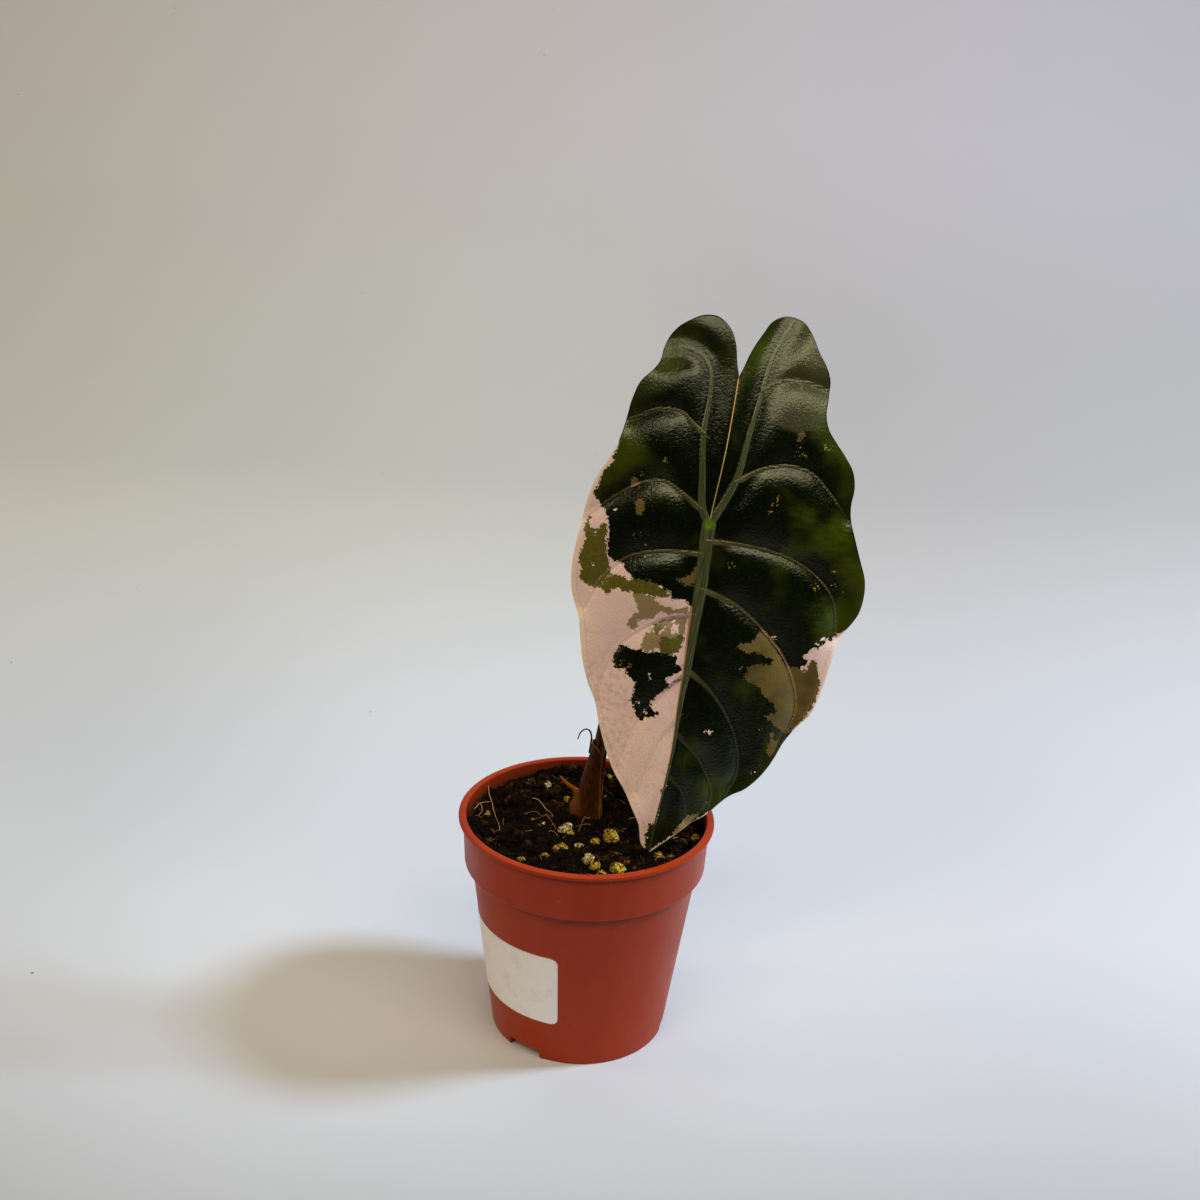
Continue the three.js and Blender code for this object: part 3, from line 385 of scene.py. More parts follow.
# The leaf's colours, on its upper side and on its underside, and how rough and wrinkled each side is.
LEAF_PAINTS = {
    # The lit green, the lighter pink low on the blade and the lobe colour carry painted light.
    "green": ((0.0016, 0.0032, 0.0002), (0.060, 0.024, 0.030)),
    "green_lit": ((0.036, 0.049, 0.0015), (0.105, 0.055, 0.045)),
    "pink": ((0.75, 0.56, 0.49), (0.52, 0.28, 0.25)),
    "lilac": ((0.68, 0.50, 0.49), (0.45, 0.22, 0.24)),
    "lilac_deep": ((0.54, 0.36, 0.37), (0.38, 0.17, 0.19)),
    "pink_painted_light": ((0.92, 0.66, 0.54), (0.52, 0.28, 0.25)),
    "cream": ((0.80, 0.67, 0.50), (0.55, 0.38, 0.27)),
    "sage": ((0.25, 0.185, 0.095), (0.24, 0.15, 0.10)),
    "tan": ((0.128, 0.093, 0.025), (0.19, 0.11, 0.07)),
    "tan_dark": ((0.084, 0.062, 0.018), (0.14, 0.08, 0.055)),
    "olive": ((0.088, 0.077, 0.012), (0.13, 0.07, 0.045)),
    "olive_lit": ((0.132, 0.120, 0.018), (0.16, 0.10, 0.05)),
    "yellow": ((0.40, 0.31, 0.025), (0.22, 0.15, 0.06)),
    "vein": ((0.062, 0.056, 0.018), (0.16, 0.12, 0.06)),
    "vein_pink": ((0.40, 0.21, 0.20), (0.42, 0.26, 0.20)),
    "vein_tan": ((0.36, 0.17, 0.10), (0.30, 0.20, 0.12)),
    "vein_mauve": ((0.24, 0.13, 0.135), (0.30, 0.15, 0.15)),
    "rib": ((0.035, 0.045, 0.016), (0.14, 0.135, 0.05)),
    "rib_light": ((0.085, 0.088, 0.036), (0.21, 0.19, 0.085)),
    "fringe": ((0.42, 0.2, 0.13), (0.4, 0.22, 0.16)),
    "joint": ((0.10, 0.19, 0.01), (0.14, 0.16, 0.04)),
    "seam_low": ((0.42, 0.34, 0.12), (0.2, 0.15, 0.07)),
    "seam_high": ((0.60, 0.34, 0.10), (0.2, 0.12, 0.07)),
    "shade": ((0.003, 0.003, 0.002), (0.05, 0.02, 0.025)),
    # lobe: sage variegation with a painted sheen on it.
    "lobe": ((0.050, 0.049, 0.020), (0.12, 0.06, 0.05)),
}
FRONT_ROUGHNESS, FRONT_WRINKLE = 0.165, 1.0
BACK_ROUGHNESS, BACK_WRINKLE = 0.5, 0.8

# Markings, as outlines in the blade's own frame. The pink half reaches past the edge. Most of the
# points, the flecks below too, were picked on the photograph, projected onto the blade and
# rounded to half a millimetre. The others were set one by one.
PINK_LEFT = (
    (-33, 21), (-34, 14), (-35.5, 11.5), (-37, 8.5), (-37, 5), (-38, 3.5), (-38, 1.5), (-37, 0.5),
    (-35, -1.5), (-32.5, -4), (-31.5, -8), (-30.5, -16), (-29, -18), (-28, -19), (-24.5, -18),
    (-24, -20), (-20.5, -22.5), (-19, -23), (-15.5, -22), (-11.5, -23), (-9.5, -23.5), (-8, -24.5),
    (-7, -26.5), (-2.5, -26), (-1.5, -27.5), (1, -28), (2, -60), (2.5, -90), (1.5, -92), (1.5, -97),
    (2, -103.5), (1, -104.5), (-0.5, -105), (-0.5, -107.5), (-1, -109), (-0.5, -111.5), (-0.5, -119),
    (-50, -119), (-50, 21),
)
PINK_RIGHT = (
    (54, -26.5), (51.5, -29.5), (48.5, -32), (48, -33), (47, -32), (46, -33.5), (44.5, -35.5),
    (42.5, -35.5), (39.5, -39.5), (40, -40), (42, -40), (41, -42), (39.5, -43.5), (42, -50),
    (43, -62.5), (41, -65), (45, -71), (62, -60), (62, -24),
)
PINK_TIP = (
    (1.5, -117), (5, -113.5), (9.5, -108), (14.5, -103), (19.5, -98.5), (20.5, -96.6), (18, -98.2),
    (12.9, -102.4), (8.1, -107.3), (4.1, -112.1), (1.7, -114.8),
)
PINK_STAR = (
    (-6, -35.5), (-5.5, -34.5), (-4, -34), (-3.5, -35), (-3, -37.5), (-4.5, -37), (-5, -38.5), (-5.5, -37),
)
OLIVE_MARGIN = (
    (-38.5, -5), (-37.5, -5.5), (-38, -7), (-37.5, -9), (-36, -9.5), (-34.5, -8.5), (-33.5, -7),
    (-32, -7.5), (-31.5, -13), (-30.5, -16.5), (-28.5, -21), (-28, -24), (-27, -22.5), (-23.5, -22.5),
    (-22.5, -23.5), (-21, -22.5), (-15.5, -22), (-11.5, -23), (-9.5, -23.5), (-8, -25), (-10.5, -26.5),
    (-13, -27), (-16, -26.5), (-19, -27), (-20.5, -26.5), (-22, -27.5), (-24, -27), (-26, -27),
    (-28, -29.5), (-30.5, -28.5), (-35, -28.5), (-37, -27.5), (-38.5, -26), (-37.5, -23.5), (-39, -22),
    (-39.5, -20.5), (-39, -16.5), (-38.5, -13), (-39.5, -10), (-39, -7.5), (-39, -5.5),
)
OLIVE_LONG = (
    (-12, -38), (-11.5, -36.5), (-10.5, -35), (-8, -33.5), (-6, -32.5), (-3, -31.5), (-4, -32.5),
    (-6, -34), (-7.5, -35.5), (-9.5, -38.5), (-11, -38.5),
)
OLIVE_ROUND = (
    (-9, -41.5), (-8.5, -39.5), (-6.5, -39), (-5.5, -39.5), (-4, -38.5), (-2, -37.5), (-1, -38.5),
    (-1.5, -41), (-2, -43.5), (-4, -45), (-6.5, -45), (-8, -44), (-8.5, -42.5),
)
SAGE_BRANCHED = (
    (-20.5, -26.5), (-20, -28.5), (-18, -30.5), (-18, -32), (-16.5, -33), (-18.5, -33.5), (-18.5, -35),
    (-20, -36), (-20, -38), (-19, -39.5), (-17.5, -39.5), (-16.5, -38.5), (-17, -37), (-15.5, -35),
    (-12.5, -34.5), (-11.5, -34), (-12, -32.5), (-10.5, -31.5), (-8.5, -31.5), (-8, -32), (-4.5, -31),
    (-1, -30), (-2, -28), (-3.5, -29), (-7.5, -29.5), (-11, -29), (-12.5, -28), (-13, -27), (-16, -26.5),
)
SAGE_INNER = (
    (-13.5, -39), (-12, -38), (-9.5, -38.5), (-7.5, -35.5), (-3, -31.5), (-1, -32), (-1, -39.5),
    (-1.5, -42), (-2, -43.5), (-4, -45), (-6.5, -45), (-9, -43.5), (-10.5, -44), (-11, -45),
    (-13, -45.5), (-14.5, -44.5), (-14, -41),
)
SAGE_TIP = ((15.5, -98), (12, -100), (9, -104.5), (8, -107), (10.5, -105), (14, -101.8))
TAN_TRIANGLE = (
    (-7, -19.5), (-5, -18), (-2.5, -17), (-1.5, -14.5), (-1, -12), (0.5, -15.5), (-0.5, -18),
    (-1.5, -21), (-4, -21), (-5.5, -20),
)
TAN_RIGHT = (
    (24, -32.5), (22.5, -34), (22.5, -35.5), (21, -36.5), (17, -37.5), (16.5, -38.5), (19, -39.5),
    (21, -40.5), (23, -39.5), (26.5, -40), (27.5, -41), (29, -40.5), (30, -42), (28.5, -43.5),
    (26, -43), (23.5, -44), (21.5, -45), (22, -46.5), (21, -49), (24.5, -50), (27.5, -51.5),
    (28.5, -53.5), (32.5, -56), (34, -58), (34.5, -59.5), (32.5, -60), (30, -60.5), (33, -62.5),
    (35.5, -64), (40, -67), (41, -64), (41, -59), (40.5, -54.5), (39, -50), (37, -46), (34, -42.5),
    (31, -38.5), (25, -33),
)
TAN_OUTER = (
    (34, -42.5), (35.5, -44), (36.5, -43.5), (39, -43.5), (41.5, -44.5), (42, -41.5), (43, -39.5),
    (44.5, -40.5), (46, -44), (47.5, -47), (47, -53), (46.5, -56), (45, -59.5), (43, -62.5),
    (41, -66), (40, -67), (40.5, -54.5), (39, -50), (37, -46),
)
TAN_SMALL = (
    (34, -67), (34.5, -66), (35.5, -67), (35.5, -69), (37.5, -70), (37, -72), (36, -74.5),
    (35.5, -75.5), (34, -73.5), (34, -70.5), (34.5, -69),
)
# A sage patch on the right lobe, painted paler as well for the sheen that lies on it.
LOBE_SAGE_AND_SHEEN = (
    (13.5, 61), (17.5, 62.4), (22, 63), (25, 59.5), (27.5, 55.5), (30, 52.5), (30.5, 46), (31, 39.5),
    (30, 36.5), (22.5, 34), (18, 34.5), (13.5, 36.5), (10.5, 44), (10.5, 49.5), (11.5, 55),
)
TAN_SPECK = ((-24, 4), (-23, 4), (-21, 2.5), (-21.5, 1), (-21.5, -0.5), (-22, -1.5), (-23.5, -1), (-24.5, 2))
TAN_FLECK = ((-27, 9.5), (-26.5, 10), (-24.5, 9), (-26, 7), (-26.5, 7.5))
GREEN_ISLAND = (
    (-20.5, -45), (-21, -46.5), (-22.5, -49.5), (-22.5, -51), (-21.5, -53), (-19.5, -54), (-18.5, -52.5),
    (-17.5, -54), (-16, -55), (-14.5, -56), (-14, -58), (-14, -61), (-15, -63), (-13.5, -64),
    (-12.5, -66), (-11.5, -68), (-9.5, -69.5), (-9, -67.5), (-7.5, -67.5), (-5.5, -67), (-4.5, -65),
    (-6, -65), (-7.5, -63.5), (-8, -62.5), (-6, -59.5), (-4, -57), (0.5, -53), (1.5, -51), (0.5, -52),
    (-2, -54.5), (-3.5, -55), (-4.5, -53.5), (-2.5, -51.5), (0, -50), (0, -48.5), (-2, -48), (-2.5, -45),
    (-7, -45), (-8.5, -44), (-11.5, -45.5), (-19, -45.5),
)

# Small flecks: across, along, radius.
CREAM_FLECKS = (
    (-30.5, -1.5, 0.42), (-35.5, -10.5, 0.49), (-34.5, -21.5, 0.42), (-11.5, -23, 0.42), (45, -32, 0.56),
    (43.5, -34, 0.49), (28.5, -34, 0.63), (12, -69, 0.56), (13.5, -69, 0.56), (31, -81.5, 0.49),
    (18, -94, 0.49), (0, -110, 0.42), (-9.5, -53.5, 0.63), (-12, -63.5, 0.42), (-18, -14.5, 0.42),
    (-16, -14, 0.49), (-9, -66, 0.42),
)
# Round patches where a sheen is painted as paler green: across, along, radius.
PAINTED_SHEEN_PATCHES = ((41, 1, 8), (47, -7, 6), (30, 9, 6), (44, -24, 7), (-30, 20, 7), (28, 38, 5))
TAN_FLECKS = ((24, 33.5, 1.25), (21.5, 48, 0.6), (23.5, 31.8, 0.7))
YELLOW_FLECKS = (
    (20, 12, 0.7), (44, -9.5, 0.6), (40, -15.5, 0.8), (-22, -8, 0.9), (-18.5, -11.5, 0.8),
    (-24.5, 11.5, 0.6), (19.5, 9.5, 0.8), (19, 7.5, 0.6), (9.5, -12, 0.9), (38.5, -15, 0.8),
    (45, -14.5, 0.9), (33, 30.5, 1.2), (24.5, 29.5, 0.7), (24.2, 27, 0.6), (26.5, 27, 0.6),
    (-19.5, -51, 0.7), (-21, -53, 0.7), (-17, -51.5, 0.6), (-17.5, 18, 0.6), (49, -15.5, 0.6),
    (19, -45.5, 0.9), (30, -66, 0.7),
)


def table_value(pairs, at, column=1):
    """Values at some places of a line through the rows of a table, held level past its ends."""
    rows = np.array(pairs, float)
    return np.interp(at, rows[:, 0], rows[:, column])


def smooth_step(value, low, high):
    """0 at low and 1 at high, with a smooth change between them. low may be the greater."""
    part = np.clip((value - low) / (high - low), 0, 1)
    return part * part * (3 - 2 * part)


def lattice(cells, seed):
    """A repeatable number from -1 to 1 for each whole-numbered cell."""
    mixed = cells[..., 0] * 73856093 ^ cells[..., 1] * 19349663 ^ cells[..., 2] * 83492791 ^ seed * 2654435
    mixed = (mixed ^ (mixed >> 13)) * 1274126177
    mixed = (mixed ^ (mixed >> 15)) * 668265263
    return ((mixed ^ (mixed >> 16)) & 0xFFFF) / 32767.5 - 1


def lumpy(places, size, seed, octaves=1):
    """Smooth random numbers about 0 at places in space, with lumps of that size."""
    total = np.zeros(places.shape[:-1])
    for octave in range(octaves):
        scaled = places * (2**octave / size)
        base = np.floor(scaled)
        part = scaled - base
        part = part * part * (3 - 2 * part)
        base = base.astype(np.int64)
        for corner in itertools.product((0, 1), repeat=3):
            share = np.prod(np.where(corner, part, 1 - part), axis=-1)
            total += share * lattice(base + np.array(corner), seed + octave) / 2**octave
    return total


def in_space(flat):
    """Flat places with a third number of nought."""
    return np.concatenate([flat, np.zeros(flat.shape[:-1] + (1,))], axis=-1)


def curve(points, fineness=40):
    """Close places along the centripetal curve through the points, and their lengths along it."""
    given = np.array(points, float)
    ends = np.vstack([2 * given[0] - given[1], given, 2 * given[-1] - given[-2]])
    shares = np.linspace(0, 1, fineness, endpoint=False)[:, None]
    pieces = []
    for i in range(len(given) - 1):
        before, start, stop, after = ends[i : i + 4]
        first = math.sqrt(np.linalg.norm(start - before))
        middle = math.sqrt(np.linalg.norm(stop - start))
        last = math.sqrt(np.linalg.norm(after - stop))
        leave = (start - before) / first - (stop - before) / (first + middle) + (stop - start) / middle
        arrive = (stop - start) / middle - (after - start) / (middle + last) + (after - stop) / last
        leave, arrive = leave * middle, arrive * middle
        square = 3 * (stop - start) - 2 * leave - arrive
        cube = 2 * (start - stop) + leave + arrive
        pieces.append(start + shares * (leave + shares * (square + shares * cube)))
    places = np.vstack([*pieces, given[-1:]])
    lengths = np.concatenate([[0], np.cumsum(np.linalg.norm(np.diff(places, axis=0), axis=1))])
    return places, lengths


def stations(points, start, end, steps):
    """Evenly spaced places from one share of a curve's length to another."""
    places, lengths = curve(points)
    wanted = np.linspace(start, end, steps + 1) * lengths[-1]
    return np.stack([np.interp(wanted, lengths, column) for column in places.T], axis=1)


def nearest_on(places, route):
    """For flat places: distance to a route, share of the route at the nearest point, and side.

    The side is 1 to the left of the route and -1 to its right, and turns smoothly past its ends.
    """
    best = np.full(len(places), np.inf)
    share = np.zeros(len(places))
    side = np.ones(len(places))
    count = len(route) - 1
    for i in range(count):
        step = route[i + 1] - route[i]
        offset = places - route[i]
        part = np.clip(offset @ step / (step @ step), 0, 1)
        away = offset - part[:, None] * step
        distance = np.hypot(away[:, 0], away[:, 1])
        nearer = distance < best
        best[nearer] = distance[nearer]
        share[nearer] = (i + part[nearer]) / count
        turned_left = step[0] * offset[nearer, 1] - step[1] * offset[nearer, 0]
        side[nearer] = turned_left / np.maximum(np.linalg.norm(step) * distance[nearer], 1e-9)
    return best, share, side


def depth_inside(places, outline):
    """Distance to a closed outline for flat places, more than nought inside it."""
    corners = np.array([*outline, outline[0]], float)
    distance, _, _ = nearest_on(places, corners)
    inside = np.zeros(len(places), bool)
    for (x0, y0), (x1, y1) in zip(corners, corners[1:]):
        if y0 == y1:
            continue
        crosses = (places[:, 1] > y0) != (places[:, 1] > y1)
        inside ^= crosses & (places[:, 0] < x0 + (places[:, 1] - y0) * (x1 - x0) / (y1 - y0))
    return np.where(inside, distance, -distance)


def deepest(places, outlines):
    """Depth inside whichever of the outlines holds each flat place most deeply."""
    return np.max([depth_inside(places, outline) for outline in outlines], axis=0)


def grid_faces(rows, columns, closed=False):
    """Quads of a grid of rows by columns of corners, joined round if it is closed."""
    across = np.arange(columns if closed else columns - 1)
    following = (across + 1) % columns
    starts = np.arange(rows - 1)[:, None] * columns
    quads = [starts + across, starts + following, starts + columns + following, starts + columns + across]
    return np.stack(quads, axis=-1).reshape(-1, 4).tolist()


def fans(sides, *ends):
    """Triangles that close rings: for each end its tip, its ring's first corner and which way round."""
    faces = []
    for i in range(sides):
        following = (i + 1) % sides
        for tip, start, onward in ends:
            first, second = (i, following) if onward else (following, i)
            faces.append([tip, start + first, start + second])
    return faces


def sheet_faces(rows, columns, turned_over):
    """Faces of a sheet of two grids of corners, one after the other, and of its border."""
    count = rows * columns
    upper = grid_faces(rows, columns)
    if turned_over:
        upper = [face[::-1] for face in upper]
    faces = upper + [[count + i for i in face[::-1]] for face in upper]
    border = [*range(columns), *range(2 * columns - 1, count, columns)]
    border += [*range(count - 2, count - columns - 1, -1), *range(count - 2 * columns, 0, -columns)]
    for here, following in zip(border, border[1:] + border[:1]):
        first, second = (here, following) if turned_over else (following, here)
        faces.append([first, second, count + second, count + first])
    return faces


def round_about(radius, angles, height):
    """Places round the upright axis. The radius and the height are numbers, or arrays like the angles."""
    return np.stack([radius * np.cos(angles), radius * np.sin(angles), height + 0 * angles], axis=-1)


def tube(route, radii, sides, oval=1):
    """Corners and faces of a closed rod along a route of places in space, with rounded ends."""
    route = np.array(route, float)
    ahead = np.gradient(route, axis=0)
    ahead /= np.linalg.norm(ahead, axis=1)[:, None]
    across = np.cross(ahead[0], (0.3, 0.9, 0.2))
    across /= np.linalg.norm(across)
    angles = np.linspace(0, 2 * math.pi, sides, endpoint=False)
    rings = []
    for place, heading, radius in zip(route, ahead, radii):
        across = across - heading * (across @ heading)
        across /= np.linalg.norm(across)
        up = np.cross(heading, across)
        ring = np.cos(angles)[:, None] * across + np.sin(angles)[:, None] * up * oval
        rings.append(place + radius * ring)
    rings = [route[:1] - 0.4 * radii[0] * ahead[:1]] + rings + [route[-1:] + 0.4 * radii[-1] * ahead[-1:]]
    corners = np.vstack(rings)
    faces = [[c + 1, d + 1, a + 1, b + 1] for a, b, c, d in grid_faces(len(route), sides, True)]
    last = len(corners) - 1
    return corners, faces + fans(sides, (0, 1, False), (last, last - sides, True))


def together(parts):
    """One list of corners and one of faces from several."""
    corners, faces, start = [], [], 0
    for some_corners, some_faces in parts:
        corners.append(some_corners)
        faces += [[start + i for i in face] for face in some_faces]
        start += len(some_corners)
    return np.vstack(corners), faces


def facing_out(corners, faces):
    """The faces, turned over if the closed surface has its inside out."""
    volume = 0.0
    for face in faces:
        fan = corners[face]
        volume += sum(fan[0] @ np.cross(fan[i], fan[i + 1]) for i in range(1, len(face) - 1))
    return faces if volume > 0 else [face[::-1] for face in faces]


def make_piece(name, corners, faces, materials, crease=35, face_slots=None, values=None):
    """A smooth-shaded mesh piece. values are attributes of its corners, by name."""
    mesh = bpy.data.meshes.new(name)
    mesh.from_pydata((np.asarray(corners) * METRE).tolist(), [], faces)
    for material in materials:
        mesh.materials.append(material)
    if face_slots is not None:
        mesh.polygons.foreach_set("material_index", np.asarray(face_slots, np.int32))
    for key, numbers in (values or {}).items():
        flat = np.asarray(numbers, np.float32)
        kind, field = ("FLOAT_VECTOR", "vector") if flat.ndim == 2 else ("FLOAT", "value")
        mesh.attributes.new(key, kind, "POINT").data.foreach_set(field, flat.ravel())
    mesh.polygons.foreach_set("use_smooth", np.ones(len(mesh.polygons), bool))
    mesh.set_sharp_from_angle(angle=math.radians(crease))
    mesh.update()
    piece = bpy.data.objects.new(name, mesh)
    bpy.context.scene.collection.objects.link(piece)
    return piece


class Look:
    """One material. Each call makes a shader node and gives back its output."""

    def __init__(self, name, roughness=0.5, ior=1.45, specular=0.5):
        self.material = bpy.data.materials.new(name)
        self.material.use_nodes = True
        self.tree = self.material.node_tree
        self.surface = self.tree.nodes["Principled BSDF"]
        self.surface.inputs["Roughness"].default_value = roughness
        self.surface.inputs["IOR"].default_value = ior
        self.surface.inputs["Specular IOR Level"].default_value = specular

    def node(self, kind, **settings):
        """A new shader node with those settings."""
        made = self.tree.nodes.new("ShaderNode" + kind)
        for key, value in settings.items():
            setattr(made, key, value)
        return made

    def feed(self, socket, value):
        """Links an output to a socket, or sets a number or colour on it."""
        if isinstance(value, bpy.types.NodeSocket):
            self.tree.links.new(value, socket)
        elif socket.type == "RGBA" and len(value) == 3:
            socket.default_value = (*value, 1)
        else:
            socket.default_value = value

    def value(self, name):
        """A number that the corners carry."""
        return self.node("Attribute", attribute_name=name).outputs["Fac"]

    def places(self, name=None, stretch=(1, 1, 1)):
        """Places in millimetres: an attribute's, or the object's own."""
        if name:
            source = self.node("Attribute", attribute_name=name).outputs["Vector"]
            scale = stretch
        else:
            source = self.node("TexCoord").outputs["Object"]
            scale = [s / METRE for s in stretch]
        made = self.node("VectorMath", operation="MULTIPLY")
        self.feed(made.inputs[0], source)
        made.inputs[1].default_value = scale
        return made.outputs[0]

    def noise(self, places, size, detail=2.0, roughness=0.5):
        """Cloudy numbers about 0.5, with clouds of that many millimetres."""
        made = self.node("TexNoise")
        self.feed(made.inputs["Vector"], places)
        made.inputs["Scale"].default_value = 1 / size
        made.inputs["Detail"].default_value = detail
        made.inputs["Roughness"].default_value = roughness
        return made.outputs["Fac"]

    def cells(self, places, size, output="Distance", feature="F1"):
        """An output of irregular cells of that many millimetres."""
        made = self.node("TexVoronoi", feature=feature)
        self.feed(made.inputs["Vector"], places)
        made.inputs["Scale"].default_value = 1 / size
        return made.outputs[output]

    def sum(self, first, second, operation="ADD"):
        """Two numbers added, or put through another of the Math node's operations."""
        made = self.node("Math", operation=operation)
        self.feed(made.inputs[0], first)
        self.feed(made.inputs[1], second)
        return made.outputs[0]

    def times(self, first, second):
        return self.sum(first, second, "MULTIPLY")

    def size_of(self, value):
        return self.sum(value, 0.0, "ABSOLUTE")

    def axis(self, places, name):
        """One number, X, Y or Z, of some places."""
        made = self.node("SeparateXYZ")
        self.feed(made.inputs[0], places)
        return made.outputs[name]

    def ranged(self, value, low, high, to_low=0.0, to_high=1.0):
        """A smooth change from to_low, at low, to to_high, at high."""
        made = self.node("MapRange", interpolation_type="SMOOTHSTEP")
        self.feed(made.inputs["Value"], value)
        made.inputs["From Min"].default_value = low
        made.inputs["From Max"].default_value = high
        made.inputs["To Min"].default_value = to_low
        made.inputs["To Max"].default_value = to_high
        return made.outputs["Result"]

    def mix(self, share, first, second):
        """The first colour where the share is 0, and the second where it is 1."""
        made = self.node("Mix", data_type="RGBA")
        self.feed(made.inputs[MIX_SHARE], share)
        self.feed(made.inputs[MIX_FIRST], first)
        self.feed(made.inputs[MIX_SECOND], second)
        return made.outputs[MIX_RESULT]

    def between(self, share, low, high):
        """A number between two, as a mix of two greys."""
        return self.mix(share, (low,) * 3, (high,) * 3)

    def lay(self, colour, paint, share, strength):
        """Lays a paint over a colour, as far as a share and a strength say."""
        return self.mix(self.times(share, strength), colour, paint)

    def bump(self, height, depth, over=None):
        """A bump of that many millimetres where height goes from 0 to 1."""
        made = self.node("Bump")
        made.inputs["Strength"].default_value = 1.0
        made.inputs["Distance"].default_value = depth * METRE
        self.feed(made.inputs["Height"], height)
        if over is not None:
            self.feed(made.inputs["Normal"], over)
        return made.outputs[0]

    def finish(self, colour, roughness=None, normal=None):
        """Feeds the shader and gives back the material."""
        self.feed(self.surface.inputs["Base Color"], colour)
        if roughness is not None:
            self.feed(self.surface.inputs["Roughness"], roughness)
        if normal is not None:
            self.feed(self.surface.inputs["Normal"], normal)
        return self.material


# Camera, light and floor.

def make_camera():
    """The camera where the photograph was taken from, rolled as the photograph is."""
    ahead = Vector((0, math.cos(CAMERA_PITCH), -math.sin(CAMERA_PITCH)))
    level = Vector((1, 0, 0))
    up = Vector((0, math.sin(CAMERA_PITCH), math.cos(CAMERA_PITCH)))
    right = level * math.cos(CAMERA_ROLL) + up * math.sin(CAMERA_ROLL)
    top = up * math.cos(CAMERA_ROLL) - level * math.sin(CAMERA_ROLL)
    turn = Matrix((right, top, -ahead)).transposed().to_4x4()
    data = bpy.data.cameras.new("camera")
    data.lens = CAMERA_LENS
    data.sensor_width = CAMERA_SENSOR
    data.clip_start = CAMERA_NEAREST
    camera = bpy.data.objects.new("camera", data)
    camera.matrix_world = Matrix.Translation(Vector(CAMERA_PLACE) * METRE) @ turn
    bpy.context.scene.collection.objects.link(camera)
    bpy.context.scene.camera = camera


def make_light(name, place, target, size, power, colour, mirrored):
    """An area light at a place, turned to a target."""
    data = bpy.data.lights.new(name, "AREA")
    data.shape = "RECTANGLE"
    data.size, data.size_y = size
    data.energy = power
    data.color = colour
    light = bpy.data.objects.new(name, data)
    aim = Vector(target) - Vector(place)
    light.matrix_world = Matrix.Translation(place) @ aim.to_track_quat("-Z", "Y").to_matrix().to_4x4()
    light.visible_glossy = mirrored
    bpy.context.scene.collection.objects.link(light)


def make_lights():
    """Soft light from overhead, more from the right than from the left, and a dim room."""
    for row in LIGHTS:
        make_light(*row)
    world = bpy.data.worlds.new("room")
    world.use_nodes = True
    background = world.node_tree.nodes["Background"]
    background.inputs["Color"].default_value = ROOM_COLOUR
    background.inputs["Strength"].default_value = ROOM_STRENGTH
    bpy.context.scene.world = world
    bpy.context.scene.view_settings.view_transform = "Standard"


def backdrop_look():
    """Pale paper with a few specks, its tones by place painted light and shade, warmer to the left and on the
    wall, and a painted dark room in front of the view.
    """
    look = Look("backdrop_paper", roughness=0.75, specular=0.2)
    paint = BACKDROP_PAINTS
    places = look.places()
    aside = look.axis(places, "X")
    depth = look.axis(places, "Y")
    # Painted light and shade: the paper's tone changes from left to right and from the floor to the wall.
    left = look.ranged(aside, -250, -90)
    near = look.mix(left, paint["near_left"], paint["near"])
    near = look.mix(look.ranged(aside, -30, 200), near, paint["near_right"])
    far = look.mix(look.ranged(aside, -200, 250), paint["far_left"], paint["far_right"])
    wall = look.mix(look.ranged(aside, -600, 550), paint["wall_left"], paint["wall_right"])
    colour = look.mix(look.ranged(depth, 150, 620), near, far)
    colour = look.mix(look.ranged(look.axis(places, "Z"), 20, 260), colour, wall)
    colour = look.mix(look.ranged(look.noise(places, 160, 2), 0.7, 0.3, 0, 0.05), colour, paint["cloud"])
    dots = look.cells(places, 34)
    chosen = look.ranged(look.axis(dots.node.outputs["Color"], "X"), 0.45, 0.5)
    specks = look.times(look.ranged(dots, 0.024, 0.014), chosen)
    colour = look.mix(look.times(specks, look.ranged(aside, 40, -40)), colour, paint["speck"])
    # Painted shade: the floor in front of the view turns near black, standing in for a dark room.
    colour = look.mix(look.ranged(depth, 70, -380), colour, paint["painted_dark_room"])
    return look.finish(colour, normal=look.bump(look.noise(places, 40, 1), 0.4))


def make_backdrop():
    """A pale sweep: a level floor that turns up into a wall behind the plant."""
    radius = BACKDROP_TURN_RADIUS
    angles = np.linspace(0, math.pi / 2, 24)
    bend = [(BACKDROP_TURN_START + radius * math.sin(a), radius * (1 - math.cos(a))) for a in angles]
    line = np.array([(BACKDROP_FRONT, 0), (0, 0), *bend, (BACKDROP_TURN_START + radius, BACKDROP_TOP)])
    columns = np.linspace(-BACKDROP_HALF_WIDTH, BACKDROP_HALF_WIDTH, 3)
    corners = np.array([(x, y, z) for y, z in line for x in columns])
    faces = grid_faces(len(line), len(columns))
    make_piece("backdrop", corners, faces, [backdrop_look()])


# Pot and label.

def body_radius(z):
    """Radius of the outside of the pot's tapering body at a height."""
    return FOOT_RADIUS + (BODY_TOP_RADIUS - FOOT_RADIUS) * z / COLLAR_FOOT_Z


def inside_radius(z):
    """Radius of the pot's inner wall at a height."""
    if z <= COLLAR_FOOT_Z:
        return body_radius(z) - WALL
    part = min((z - COLLAR_FOOT_Z) / (POT_HEIGHT - LIP_HEIGHT - COLLAR_FOOT_Z), 1)
    return COLLAR_FOOT_RADIUS + (COLLAR_TOP_RADIUS - COLLAR_FOOT_RADIUS) * part - WALL


